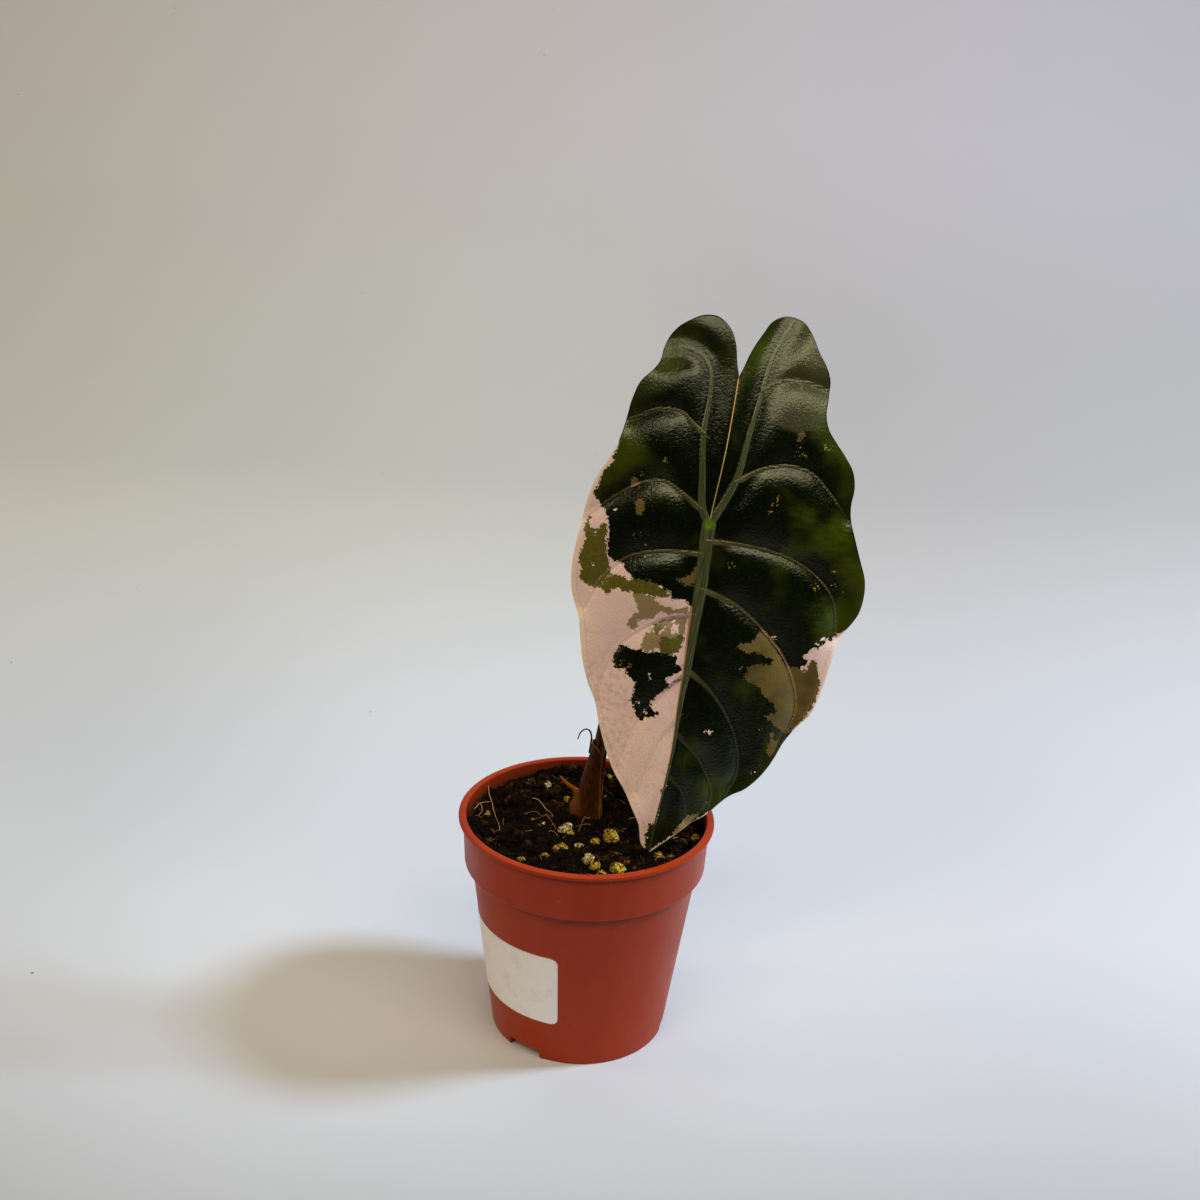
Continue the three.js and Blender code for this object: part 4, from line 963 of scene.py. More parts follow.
def rounded(profile, steps=4):
    """A line of (radius, z, rounding) corners with each corner rounded off."""
    points = np.array([row[:2] for row in profile], float)
    line = [points[0]]
    for i in range(1, len(points) - 1):
        back, on = points[i - 1] - points[i], points[i + 1] - points[i]
        reach = min(profile[i][2], 0.45 * np.linalg.norm(back), 0.45 * np.linalg.norm(on))
        start = points[i] + back / np.linalg.norm(back) * reach
        stop = points[i] + on / np.linalg.norm(on) * reach
        for share in np.linspace(0, 1, steps):
            line.append((1 - share) ** 2 * start + 2 * share * (1 - share) * points[i] + share**2 * stop)
    line.append(points[-1])
    return np.array(line)


def pot_profile():
    """The pot's section, from the hub's underside out, up and back down inside."""
    floor_top = FLOOR_Z + FLOOR_THICKNESS
    lip_foot = POT_HEIGHT - LIP_HEIGHT
    hub_inside = HUB_RADIUS - FLOOR_THICKNESS
    return rounded([
        (0, 0, 0), (HUB_RADIUS, 0, 0.3), (HUB_RADIUS + HUB_SLOPE, FLOOR_Z, 0.4),
        (RING_INSIDE, FLOOR_Z, 0.4), (RING_INSIDE, 0, 0.3), (FOOT_RADIUS, 0, 0.7),
        (body_radius(NOTCH_HEIGHT), NOTCH_HEIGHT, 0.1), (BODY_TOP_RADIUS, COLLAR_FOOT_Z - WALL, 0.5),
        (COLLAR_FOOT_RADIUS, COLLAR_FOOT_Z, 0.8), (COLLAR_TOP_RADIUS, lip_foot, 0.5),
        (RIM_RADIUS, lip_foot, 0.5), (RIM_RADIUS, POT_HEIGHT, 0.7),
        (inside_radius(lip_foot), POT_HEIGHT, 0.6), (inside_radius(lip_foot), lip_foot, 0.3),
        (inside_radius(COLLAR_FOOT_Z + WALL), COLLAR_FOOT_Z + WALL, 0.5),
        (inside_radius(COLLAR_FOOT_Z - WALL), COLLAR_FOOT_Z - WALL, 0.5),
        (inside_radius(floor_top), floor_top, 0.5), (hub_inside, floor_top, 0.4),
        (hub_inside - HUB_SLOPE, FLOOR_THICKNESS, 0.3), (0, FLOOR_THICKNESS, 0),
    ])


def pot_look():
    """Brick-red moulded plastic: satin, faintly streaked, flecked with dust, and darker inside above the mix,
    with soil smears and painted shade.
    """
    look = Look("terracotta_plastic", roughness=0.4, ior=1.5, specular=0.17)
    paint = POT_PAINTS
    places = look.places()
    streaks = look.noise(look.places(stretch=(1, 1, 0.12)), 5, 3)
    cloud = look.noise(places, 22, 3)
    colour = look.mix(look.ranged(streaks, 0.35, 0.65), paint["red"], paint["streak"])
    colour = look.lay(colour, paint["cloud"], look.ranged(cloud, 0.45, 0.75), 0.35)
    specks = look.ranged(look.noise(places, 0.7, 2), 0.70, 0.74)
    colour = look.lay(colour, paint["speck"], specks, 0.55)
    dust = look.ranged(look.noise(places, 1.1, 2), 0.72, 0.78)
    colour = look.lay(colour, paint["dust"], dust, 0.25)
    height = look.axis(places, "Z")
    damp = look.times(look.ranged(height, 80.5, 77.0), look.ranged(look.noise(places, 2.2, 3), 0.4, 0.62))
    radius_square = look.sum(
        look.times(look.axis(places, "X"), look.axis(places, "X")),
        look.times(look.axis(places, "Y"), look.axis(places, "Y")),
    )
    wall_square = inside_radius(POT_HEIGHT) ** 2
    inner = look.ranged(radius_square, wall_square + 30, wall_square + 5)
    # Painted shade and soil smears on the inner wall above the mix, deeper towards the mix.
    smear_and_shade = look.sum(look.times(damp, 0.6), look.ranged(height, 84, 77, 0.34, 0.74))
    inner = look.times(inner, look.ranged(height, COLLAR_FOOT_Z + 2, COLLAR_FOOT_Z + 4))
    colour = look.mix(look.times(smear_and_shade, inner), colour, paint["soiled"])
    roughness = look.ranged(cloud, 0.3, 0.8, 0.36, 0.5)
    grain = look.bump(look.noise(places, 0.5, 2), 0.012)
    return look.finish(colour, roughness, look.bump(streaks, 0.02, grain))


def make_pot():
    """The pot: a lathe whose foot ring is lifted at the notches, with drain holes cut."""
    profile = pot_profile()
    half = NOTCH_WIDTH / 2 / FOOT_RADIUS
    edge = NOTCH_EDGE / FOOT_RADIUS
    centres = [math.radians(angle) % (2 * math.pi) for angle in NOTCH_ANGLES]
    extra = [c + side * (half + more) for c in centres for side in (-1, 1) for more in (-edge, edge)]
    extra = [angle % (2 * math.pi) for angle in extra]
    angles = np.array(sorted([*np.linspace(0, 2 * math.pi, POT_SIDES, endpoint=False), *extra]))
    lift = np.zeros(len(angles))
    for centre in centres:
        away = np.abs((angles - centre + math.pi) % (2 * math.pi) - math.pi)
        lift = np.maximum(lift, NOTCH_HEIGHT * smooth_step(away, half + edge, half - edge))
    corners = []
    for radius, z in profile[1:-1]:
        in_foot = radius > RING_INSIDE - 0.01 and z <= NOTCH_HEIGHT
        corners.append(round_about(radius, angles, np.maximum(z, lift) if in_foot else z))
    corners = np.vstack([*corners, [(0, 0, 0), (0, 0, FLOOR_THICKNESS)]])
    sides, rows = len(angles), len(profile) - 2
    faces = grid_faces(rows, sides, True)
    faces += fans(sides, (rows * sides, 0, False), (rows * sides + 1, (rows - 1) * sides, True))
    pot = make_piece("pot_shell", corners, facing_out(corners, faces), [pot_look()], crease=POT_CREASE)
    cut_drains(pot)
    pot.data.set_sharp_from_angle(angle=math.radians(POT_CREASE))
    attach(pot, "root")
    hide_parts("pot")


def cut_drains(pot):
    """Cuts the ring of drain holes through the pot's floor."""
    tools = bmesh.new()
    for i in range(DRAIN_COUNT):
        angle = 2 * math.pi * i / DRAIN_COUNT
        place = Vector((
            DRAIN_CIRCLE_RADIUS * math.cos(angle), DRAIN_CIRCLE_RADIUS * math.sin(angle), FLOOR_Z,
        ))
        bmesh.ops.create_cone(
            tools, cap_ends=True, segments=28, radius1=DRAIN_RADIUS * METRE, radius2=DRAIN_RADIUS * METRE,
            depth=4 * FLOOR_THICKNESS * METRE, matrix=Matrix.Translation(place * METRE),
        )
    mesh = bpy.data.meshes.new("drain_cutter")
    tools.to_mesh(mesh)
    tools.free()
    cutter = bpy.data.objects.new("drain_cutter", mesh)
    bpy.context.scene.collection.objects.link(cutter)
    cut = pot.modifiers.new("drains", "BOOLEAN")
    cut.operation = "DIFFERENCE"
    cut.object = cutter
    cut.solver = "EXACT"
    apply_modifiers(pot)
    bpy.data.objects.remove(cutter)
    bpy.data.meshes.remove(mesh)


def apply_modifiers(piece):
    """Replaces a piece's mesh by what its modifiers make of it."""
    graph = bpy.context.evaluated_depsgraph_get()
    done = bpy.data.meshes.new_from_object(piece.evaluated_get(graph))
    before = piece.data
    piece.modifiers.clear()
    piece.data = done
    name = before.name
    bpy.data.meshes.remove(before)
    done.name = name


def label_look():
    """Coated paper: warm white, faint fibres, a little soiled towards its edges."""
    look = Look("label_paper", roughness=0.5)
    paint = LABEL_PAINTS
    places = look.places()
    fibres = look.noise(look.places(stretch=(1, 1, 3)), 1.2, 4, 0.6)
    colour = look.mix(look.ranged(fibres, 0.35, 0.65), paint["paper"], paint["fibre"])
    soil = look.ranged(look.noise(places, 9, 4, 0.6), 0.52, 0.75)
    colour = look.lay(colour, paint["smudge"], soil, 0.25)
    near_edge = look.ranged(look.value("inset"), 0.5, 0.0)
    colour = look.lay(colour, paint["edge"], near_edge, 0.5)
    return look.finish(colour, normal=look.bump(fibres, 0.02))


def make_label():
    """A thin sheet with rounded corners that follows the pot's body."""
    height = LABEL_TOP_Z - LABEL_BOTTOM_Z
    middle_radius = body_radius((LABEL_BOTTOM_Z + LABEL_TOP_Z) / 2)
    along = np.linspace(0, 1, LABEL_COLUMNS)[None, :]
    rise = height * np.linspace(0, 1, LABEL_ROWS)[:, None]
    corner = np.maximum(LABEL_CORNER - np.minimum(rise, height - rise), 0)
    inset = LABEL_CORNER - np.sqrt(LABEL_CORNER**2 - corner**2)
    across = inset + (LABEL_LENGTH - 2 * inset) * along
    angles = LABEL_RIGHT_ANGLE - across / middle_radius
    heights = LABEL_BOTTOM_Z + rise + 0 * across
    ripple = LABEL_RIPPLE * lumpy(np.stack([across, heights, 0 * across], axis=-1), 9, SEED + 3, 2)
    sheets = []
    for lift in (LABEL_LIFT, LABEL_LIFT + LABEL_THICKNESS):
        radii = body_radius(heights) + lift + np.abs(ripple)
        sheets.append(round_about(radii, angles, heights).reshape(-1, 3))
    faces = sheet_faces(LABEL_ROWS, LABEL_COLUMNS, False)
    corners = np.vstack(sheets)
    from_end = np.minimum(across - inset, LABEL_LENGTH - inset - across)
    inset_value = np.minimum(from_end, np.minimum(rise, height - rise) + 0 * across).ravel()
    values = {"inset": np.tile(inset_value, 2)}
    label = make_piece("label_sheet", corners, facing_out(corners, faces), [label_look()], values=values)
    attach(label, "root")
    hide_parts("label")


# Potting mix.

def soil_level(x, y):
    """Height of the mix without its fine crumbs: a low heap round the plant, and soft lumps."""
    places = in_space(np.stack([x, y], axis=-1))
    heap = HEAP_HEIGHT * np.exp(-((np.hypot(x - PLANT_X, y - PLANT_Y) / HEAP_RADIUS) ** 2))
    rise = BACK_RISE * smooth_step(y, 4, 40)
    broad = BROAD_LUMP_HEIGHT * lumpy(places, BROAD_LUMP_SIZE, SEED + 11)
    return SOIL_Z + heap + rise + broad + SMALL_LUMP_HEIGHT * lumpy(places, SMALL_LUMP_SIZE, SEED + 12)


def soil_look():
    """Dark, moist peat: near black with brown crumbs and a few pale threads."""
    look = Look("potting_mix", roughness=0.9, specular=0.12)
    paint = SOIL_PAINTS
    places = look.places()
    crumbs = look.noise(places, 1.6, 5, 0.65)
    colour = look.mix(look.ranged(crumbs, 0.35, 0.7), paint["black"], paint["peat"])
    brown = look.times(look.ranged(look.value("tone"), 0.6, 1.0), look.ranged(crumbs, 0.4, 0.6))
    colour = look.mix(brown, colour, paint["brown"])
    pale = look.ranged(look.noise(places, 0.55, 2), 0.70, 0.78)
    colour = look.lay(colour, paint["thread"], pale, 0.35)
    normal = look.bump(look.noise(places, 0.6, 5, 0.7), 0.4)
    return look.finish(colour, normal=normal)


def make_soil_bed(look):
    """The body of the mix, with a crumbled top that meets the pot's wall."""
    wall = inside_radius(SOIL_Z) - SOIL_CLEARANCE
    angles = np.linspace(0, 2 * math.pi, SOIL_SIDES, endpoint=False)
    shares = np.linspace(1, 1 / SOIL_RINGS, SOIL_RINGS)[:, None]
    x, y = wall * shares * np.cos(angles), wall * shares * np.sin(angles)
    places = in_space(np.stack([x, y], axis=-1))
    crumble = CRUMBLE_HEIGHT * np.abs(lumpy(places, CRUMBLE_SIZE, SEED + 13, 2))
    fine = crumble + GRIT_HEIGHT * lumpy(places, GRIT_SIZE, SEED + 14, 2)
    near_wall = WALL_RAGGEDNESS * smooth_step(np.hypot(x, y), wall - 4, wall)
    heights = soil_level(x, y) + fine + near_wall * lumpy(places, 5, SEED + 15)
    top = np.stack([x, y, heights], axis=-1)
    underside = FLOOR_Z + FLOOR_THICKNESS + SOIL_FLOOR_GAP
    side_levels = (underside, COLLAR_FOOT_Z - WALL, COLLAR_FOOT_Z + 2 * WALL)
    side = [round_about(inside_radius(z) - SOIL_SIDE_GAP, angles, z)[None] for z in side_levels]
    rings = np.concatenate([*side, top])
    middle = np.array([[0, 0, float(heights[-1].mean())], [0, 0, underside]])
    corners = np.vstack([rings.reshape(-1, 3), middle])
    faces = grid_faces(len(rings), SOIL_SIDES, True)
    last = (len(rings) - 1) * SOIL_SIDES
    faces += fans(SOIL_SIDES, (len(corners) - 2, last, True), (len(corners) - 1, 0, False))
    values = {"tone": 0.5 + 0.4 * lumpy(corners, 1.7, SEED + 16)}
    bed = make_piece("soil_bed", corners, facing_out(corners, faces), [look], crease=80, values=values)
    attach(bed, "root")
    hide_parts("soil")


def ball(fineness):
    """Corners and faces of a round lump of radius 1."""
    shape = bmesh.new()
    bmesh.ops.create_icosphere(shape, subdivisions=fineness, radius=1)
    corners = np.array([v.co[:] for v in shape.verts])
    faces = [[v.index for v in face.verts] for face in shape.faces]
    shape.free()
    return corners, faces


def turned(corners, stream):
    """Corners turned at random about the upright and tipped a little."""
    spin, tip = 2 * math.pi * stream.random(), 0.6 * stream.random()
    turn = Matrix.Rotation(spin, 3, "Z") @ Matrix.Rotation(tip, 3, "X")
    return corners @ np.array(turn).T


def scattered(count, stream, clear=11.0, reach=39.5):
    """Places on the mix away from the plant."""
    places = []
    while len(places) < count:
        radius, angle = reach * math.sqrt(stream.random()), 2 * math.pi * stream.random()
        place = radius * math.cos(angle), radius * math.sin(angle)
        if math.hypot(place[0] - PLANT_X, place[1] - PLANT_Y) > clear:
            places.append(place)
    return places


def level_at(x, y):
    """Height of the mix at one place."""
    return float(soil_level(np.array([x], float), np.array([y], float))[0])


def covers_detail(x, y, radius, routes):
    """Whether a clod would hide one of the placed grains, or one of the fibres on those routes."""
    for grain_x, grain_y, size, _ in FRONT_GRAINS:
        if math.hypot(x - grain_x, y - grain_y) < 0.5 * size + 0.9 * radius:
            return True
    return min(np.hypot(x - route[:, 0], y - route[:, 1]).min() for route in routes) < radius


def make_crumbs(look):
    """Loose clods of the mix, of many sizes, half sunk in its top."""
    stream = np.random.default_rng(SEED + 21)
    routes = [stations(route, 0, 1, 12) for route in STRAWS + ROOTS]
    shapes = [(1.7, ball(3)), (CLOD_RADIUS, ball(2)), (0, ball(1))]
    parts, tones = [], []
    for x, y in scattered(CRUMB_COUNT, stream, clear=5.5, reach=40.5):
        radius = CRUMB_LEAST + CRUMB_SPREAD * stream.random() ** 4
        base, faces = next(shape for least, shape in shapes if radius > least)
        lump = base * (1 + 0.7 * lumpy(base + 50 * stream.random(3), 0.7, SEED + 22, 3))[:, None]
        lump = turned(lump * (1, 0.6 + 0.4 * stream.random(), 0.75), stream) * radius
        tone = stream.random() ** 1.5
        beside_wall = math.hypot(x, y) + radius > CLOD_REACH
        if radius > CLOD_RADIUS and (beside_wall or covers_detail(x, y, radius, routes)):
            continue
        parts.append((lump + (x, y, level_at(x, y) + 0.25 * radius), faces))
        tones.append(np.full(len(lump), tone))
    corners, faces = together(parts)
    values = {"tone": np.concatenate(tones)}
    crumbs = make_piece("soil_crumbs", corners, faces, [look], crease=32, values=values)
    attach(crumbs, "root")


def grain_look():
    """Pumice and perlite: cream to ochre, pitted, with peat in the pits."""
    look = Look("perlite", roughness=0.8, specular=0.3)
    paint = GRAIN_PAINTS
    places = look.places()
    tone = look.value("tone")
    patch = look.ranged(look.sum(look.noise(places, 1.5, 3), look.times(tone, 0.36)), 0.52, 0.68)
    colour = look.mix(patch, paint["cream"], paint["ochre"])
    shaded = look.ranged(look.noise(places, 1.1, 3, 0.6), 0.45, 0.62)
    colour = look.lay(colour, paint["shaded"], shaded, 0.75)
    pits = look.ranged(look.cells(places, 0.55), 0.42, 0.25)
    dirt = look.ranged(look.noise(places, 1.0, 5, 0.75), 0.47, 0.55)
    dirty = look.times(look.sum(look.times(pits, 0.6), dirt, "MAXIMUM"), dirt)
    colour = look.mix(dirty, colour, paint["dirt"])
    colour = look.lay(colour, paint["sunk"], look.ranged(look.value("sunk"), 0.3, -0.45), 0.92)
    normal = look.bump(look.cells(places, 0.6), 0.3, look.bump(look.noise(places, 0.5, 4, 0.7), 0.3))
    return look.finish(colour, normal=normal)


def make_grains():
    """Perlite: the measured grains in front, and more scattered by rule."""
    stream = np.random.default_rng(SEED + 31)
    fine, plain = ball(4), ball(3)
    rows = [(*row, True) for row in FRONT_GRAINS]
    for x, y in scattered(GRAIN_COUNT, stream, clear=12):
        if min(math.hypot(x - row[0], y - row[1]) for row in rows) > GRAIN_SPACING:
            size = GRAIN_LEAST + GRAIN_SPREAD * stream.random() ** 2
            rows.append((x, y, size, stream.random(), False))
    parts, tones, sunk = [], [], []
    for x, y, size, yellow, near in rows:
        base, its_faces = fine if near else plain
        shift = 40 * stream.random(3)
        rough = 0.42 * lumpy(base + shift, 0.9, SEED + 32) + 0.22 * lumpy(base + shift, 0.4, SEED + 34)
        rough -= 0.42 * np.maximum(lumpy(base + shift, 0.28, SEED + 33) - 0.1, 0)
        lump = turned(base * (1 + rough)[:, None] * (1.1, 0.85 + 0.25 * stream.random(), 0.78), stream)
        parts.append((lump * size / 2 + (x, y, level_at(x, y) + GRAIN_LIFT * size), its_faces))
        tones.append(np.full(len(lump), yellow))
        sunk.append(lump[:, 2])
    corners, faces = together(parts)
    values = {"tone": np.concatenate(tones), "sunk": np.concatenate(sunk)}
    grains = make_piece("perlite_grains", corners, faces, [grain_look()], crease=80, values=values)
    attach(grains, "root")


def chip_look():
    """Bark: dark brown, with redder streaks along it."""
    look = Look("bark", roughness=0.8, specular=0.2)
    paint = CHIP_PAINTS
    places = look.places()
    streaks = look.noise(look.places(stretch=(1, 0.35, 1.6)), 0.7, 4, 0.6)
    colour = look.mix(look.ranged(streaks, 0.35, 0.68), paint["dark"], paint["red"])
    colour = look.mix(look.ranged(look.noise(places, 3, 2), 0.45, 0.75), colour, paint["patch"])
    return look.finish(colour, normal=look.bump(streaks, 0.18))


def make_chips():
    """Splinters of bark, thin and torn, lying on the mix."""
    stream = np.random.default_rng(SEED + 41)
    base, faces = ball(3)
    rows = list(FRONT_CHIPS)
    for x, y in scattered(CHIP_COUNT, stream):
        rows.append((x, y, CHIP_LEAST + CHIP_SPREAD * stream.random(), 360 * stream.random()))
    blocky = np.sign(base) * np.abs(base) ** CHIP_BLUNTNESS
    parts = []
    for x, y, length, heading in rows:
        torn = blocky * (1 + 0.25 * lumpy(base + 30 * stream.random(3), 0.5, SEED + 42, 2))[:, None]
        slab = torn * (length / 2, length * (0.2 + 0.14 * stream.random()), CHIP_HALF_THICKNESS)
        tip = Matrix.Rotation(0.5 * stream.random() - 0.2, 3, "Y")
        turn = Matrix.Rotation(math.radians(heading), 3, "Z") @ tip
        parts.append((slab @ np.array(turn).T + (x, y, level_at(x, y) + CHIP_LIFT), faces))
    corners, faces = together(parts)
    chips = make_piece("bark_chips", corners, faces, [chip_look()], crease=60)
    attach(chips, "root")


def fibre_look():
    """Straw and dry root: a tone of 0 is dark brown, and one of 1 is pale straw."""
    look = Look("fibres", roughness=0.6)
    paint = FIBRE_PAINTS
    streaks = look.noise(look.places(), 0.6, 3)
    tone = look.value("tone")
    colour = look.mix(tone, paint["root"], paint["straw"])
    colour = look.lay(colour, paint["streak"], look.ranged(streaks, 0.4, 0.7), 0.4)
    return look.finish(colour)


def make_fibres():
    """Straws and roots that lie on the mix, and short loose threads."""
    stream = np.random.default_rng(SEED + 51)
    rows = [(route, *STRAW_BUILD) for route in STRAWS] + [(route, *ROOT_BUILD) for route in ROOTS]
    for x, y in scattered(LOOSE_FIBRES, stream, clear=7, reach=37):
        heading, length = 2 * math.pi * stream.random(), 2 + 5 * stream.random()
        bend = stream.normal(0, 0.7, 2)
        middle = x + 0.5 * length * math.cos(heading), y + 0.5 * length * math.sin(heading)
        end_x = middle[0] + 0.5 * length * math.cos(heading + bend[0])
        end_y = middle[1] + 0.5 * length * math.sin(heading + bend[1])
        if math.hypot(end_x, end_y) < 40:
            radius, tone = 0.05 + 0.07 * stream.random(), 0.7 * stream.random()
            rows.append((((x, y), middle, (end_x, end_y)), radius, tone, THREAD_LIFT))
    parts, tones = [], []
    for route, radius, tone, over in rows:
        steps = 6 * len(route)
        flat = stations(route, 0, 1, steps)
        lift = over + 0.5 * np.sin(np.linspace(0, math.pi, steps + 1)) + 0.25 * stream.random()
        line = np.column_stack([flat, soil_level(flat[:, 0], flat[:, 1]) + lift])
        radii = radius * (1 - 0.5 * np.linspace(0, 1, steps + 1))
        made = tube(line, radii, FIBRE_SIDES)
        parts.append(made)
        tones.append(np.full(len(made[0]), tone))
    corners, faces = together(parts)
    values = {"tone": np.concatenate(tones)}
    fibres = make_piece("soil_fibres", corners, faces, [fibre_look()], crease=80, values=values)
    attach(fibres, "root")


# Stem pieces.

def petiole_centre(z):
    """Centre of the petiole at some heights."""
    line, _ = curve(PETIOLE_ROUTE)
    return np.stack([np.interp(z, line[:, 2], line[:, 0]), np.interp(z, line[:, 2], line[:, 1])], axis=-1)


def petiole_look():
    """Smooth stalk: brown at its foot, olive higher up, with dark flecks and fine lines along it."""
    look = Look("petiole_skin", roughness=0.45, specular=0.3)
    paint = PETIOLE_PAINTS
    places = look.places()
    height = look.axis(places, "Z")
    flecks = look.noise(look.places(stretch=(1, 1, 0.3)), 0.9, 4, 0.6)
    low = look.mix(look.ranged(flecks, 0.35, 0.7), paint["foot_dark"], paint["foot"])
    high = look.mix(look.ranged(flecks, 0.4, 0.62), paint["olive"], paint["fleck"])
    colour = look.mix(look.ranged(height, 118, 150), low, high)
    lines = look.noise(look.places(stretch=(1, 1, 0.06)), 0.45, 3)
    return look.finish(colour, normal=look.bump(lines, 0.06))


def make_petiole():
    """The stalk, from the mix up to the blade's underside."""
    line = stations(PETIOLE_ROUTE, 0, 1, PETIOLE_STEPS)
    radii = table_value(PETIOLE_RADII, line[:, 2])
    corners, faces = tube(line, radii, PETIOLE_SIDES)
    corners = corners + 0.04 * lumpy(corners * (1, 1, 0.2), 1.2, SEED + 61, 2)[:, None]
    petiole = make_piece("petiole_stalk", corners, facing_out(corners, faces), [petiole_look()])
    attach(petiole, "root")
    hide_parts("petiole")


def sheath_look(name):
    """Dry, papery sheath: orange-brown, darker streaks along it, paler on its right side and at its torn
    edges, partly dry tissue and partly painted light.
    """
    look = Look(name, roughness=0.6, specular=0.25)
    paint = SHEATH_PAINTS
    places = look.places()
    streaks = look.noise(look.places(stretch=(1, 1, 0.16)), 0.6, 5, 0.65)
    colour = look.mix(look.ranged(streaks, 0.32, 0.7), paint["dark"], paint["brown"])
    # Paler on the right side: dry tissue by the margins, and painted light from the right.
    dry = look.times(look.ranged(look.axis(places, "X"), 3.4, 5.0), look.ranged(streaks, 0.3, 0.6, 0.45, 0.9))
    colour = look.mix(dry, colour, paint["dry"])
    blotch = look.noise(places, 3.5, 3)
    colour = look.lay(colour, paint["blotch"], look.ranged(blotch, 0.45, 0.7), 0.6)
    # Paler torn edges, with a painted highlight along the margins.
    colour = look.lay(colour, paint["torn"], look.ranged(look.value("edge"), 1.0, 0.1), 0.85)
    damp = look.ranged(look.axis(places, "Z"), 81, 77)
    colour = look.lay(colour, paint["damp"], damp, 0.6)
    return look.finish(colour, normal=look.bump(streaks, 0.12))


def make_cataphyll():
    """The papery sheath, with ragged margins, and its withered, curled tip."""
    z = np.linspace(SHEATH_COVER[0][0], SHEATH_COVER[-1][0], SHEATH_ROWS)
    centre = petiole_centre(z)
    ragged = SHEATH_RAGGEDNESS * np.interp(z, (78, 90), (0.3, 1))
    line = in_space(np.stack([z, 0 * z], axis=-1))
    first = table_value(SHEATH_COVER, z, 1) + ragged * lumpy(line, 2.6, SEED + 71, 3)
    last = table_value(SHEATH_COVER, z, 2) + ragged * lumpy(line, 2.2, SEED + 72, 3)
    share = np.linspace(0, 1, SHEATH_COLUMNS)
    angles = np.radians(first[:, None] + (last - first)[:, None] * share)
    from_edge = np.minimum(share, 1 - share) * np.radians(last - first)[:, None] * 3
    wrinkle = SHEATH_WRINKLE * lumpy(round_about(3, angles, z[:, None] * 0.15), 0.8, SEED + 73, 2)
    petiole_radius = table_value(PETIOLE_RADII, z)[:, None]
    sheets = []
    for face in (0, 1):
        thickness = face * (SHEATH_EDGE_THICKNESS + SHEATH_THICKENING * smooth_step(from_edge, 0, 2.5))
        curl_out = SHEATH_EDGE_LIFT * smooth_step(from_edge, 0.8, 0)
        swelling = table_value(SHEATH_SWELLING, z)[:, None] * np.maximum(0, -np.cos(angles)) ** 1.5
        radius = petiole_radius + SHEATH_GAP + np.abs(wrinkle) + thickness + curl_out + swelling
        x = centre[:, :1] + radius * np.cos(angles)
        y = centre[:, 1:] + radius * np.sin(angles)
        sheets.append(np.stack([x, y, z[:, None] + 0 * x], axis=-1).reshape(-1, 3))
    wrap = np.vstack(sheets)
    wrap_faces = facing_out(wrap, sheet_faces(SHEATH_ROWS, SHEATH_COLUMNS, True))
    curl_line = stations(CURL_ROUTE, 0, 1, CURL_STEPS)
    taper = 1 - 0.5 * np.linspace(0, 1, CURL_STEPS + 1)
    curl_radii = CURL_RADIUS * taper + 0.05 * lumpy(curl_line, 1.5, SEED + 74)
    curl = tube(curl_line, curl_radii, 10, oval=0.7)
    corners, faces = together([(wrap, wrap_faces), curl])
    edge = np.concatenate([np.tile(from_edge.ravel(), 2) + 0.45, np.full(len(curl[0]), 3.0)])
    look = sheath_look("cataphyll_paper")
    sheath = make_piece("cataphyll_wrap", corners, faces, [look], values={"edge": edge})
    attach(sheath, "root")
    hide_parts("cataphyll")


def oval_rod(sections, steps, sides, seed):
    """A closed rod through oval sections, ribbed along its length."""
    at = stations(sections, 0, 1, steps)
    angles = np.linspace(0, 2 * math.pi, sides, endpoint=False)
    rings = []
    for x, y, z, width, depth in at:
        ribs = 1 + 0.05 * lumpy(round_about(4, angles, z * 0.1), 0.9, seed, 2)
        ring_x = x + width * ribs * np.cos(angles)
        ring_y = y + depth * ribs * np.sin(angles)
        rings.append(np.stack([ring_x, ring_y, 0 * angles + z], axis=-1))
    corners = np.vstack([*rings, at[:1, :3], at[-1:, :3]])
    faces = grid_faces(len(at), sides, True)
    faces += fans(sides, (len(corners) - 2, 0, False), (len(corners) - 1, (len(at) - 1) * sides, True))
    return corners, facing_out(corners, faces)


def make_old_sheath():
    """The swollen stump of an older sheath, and its torn flap."""
    stump = oval_rod(STUMP_SECTIONS, OLD_SHEATH_STEPS, STUMP_SIDES, SEED + 81)
    flap = oval_rod(FLAP_SECTIONS, OLD_SHEATH_STEPS, FLAP_SIDES, SEED + 82)
    corners, faces = together([stump, flap])
    edge = np.concatenate([np.full(len(stump[0]), 0.75), np.full(len(flap[0]), 0.1)])
    look = sheath_look("old_sheath_paper")
    piece = make_piece("old_sheath_stump", corners, faces, [look], values={"edge": edge})
    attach(piece, "root")
    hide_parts("old_sheath")


def dress_rootstock():
    """The buried stem and roots keep their solid, with a cream, scarred skin."""
    look = Look("root_skin", roughness=0.7)
    paint = ROOT_PAINTS
    places = look.places()
    scars = look.noise(look.places(stretch=(0.4, 0.4, 2)), 2, 3)
    colour = look.mix(look.ranged(scars, 0.4, 0.65), paint["cream"], paint["scar"])
    colour = look.mix(look.ranged(look.noise(places, 4, 3), 0.5, 0.7), colour, paint["patch"])
    material = look.finish(colour, normal=look.bump(scars, 0.3))
    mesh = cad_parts["rootstock"].data
    mesh.materials.clear()
    mesh.materials.append(material)


# Leaf.

def blade_axes():
    """The blade's frame: its across, along and out directions."""
    along = BLADE_JOINT - BLADE_HANG
    along = along / np.linalg.norm(along)
    out = np.array((0.0, -1.0, 0.0))
    out = out - along * (out @ along)
    out = out / np.linalg.norm(out)
    return np.cross(along, out), along, out


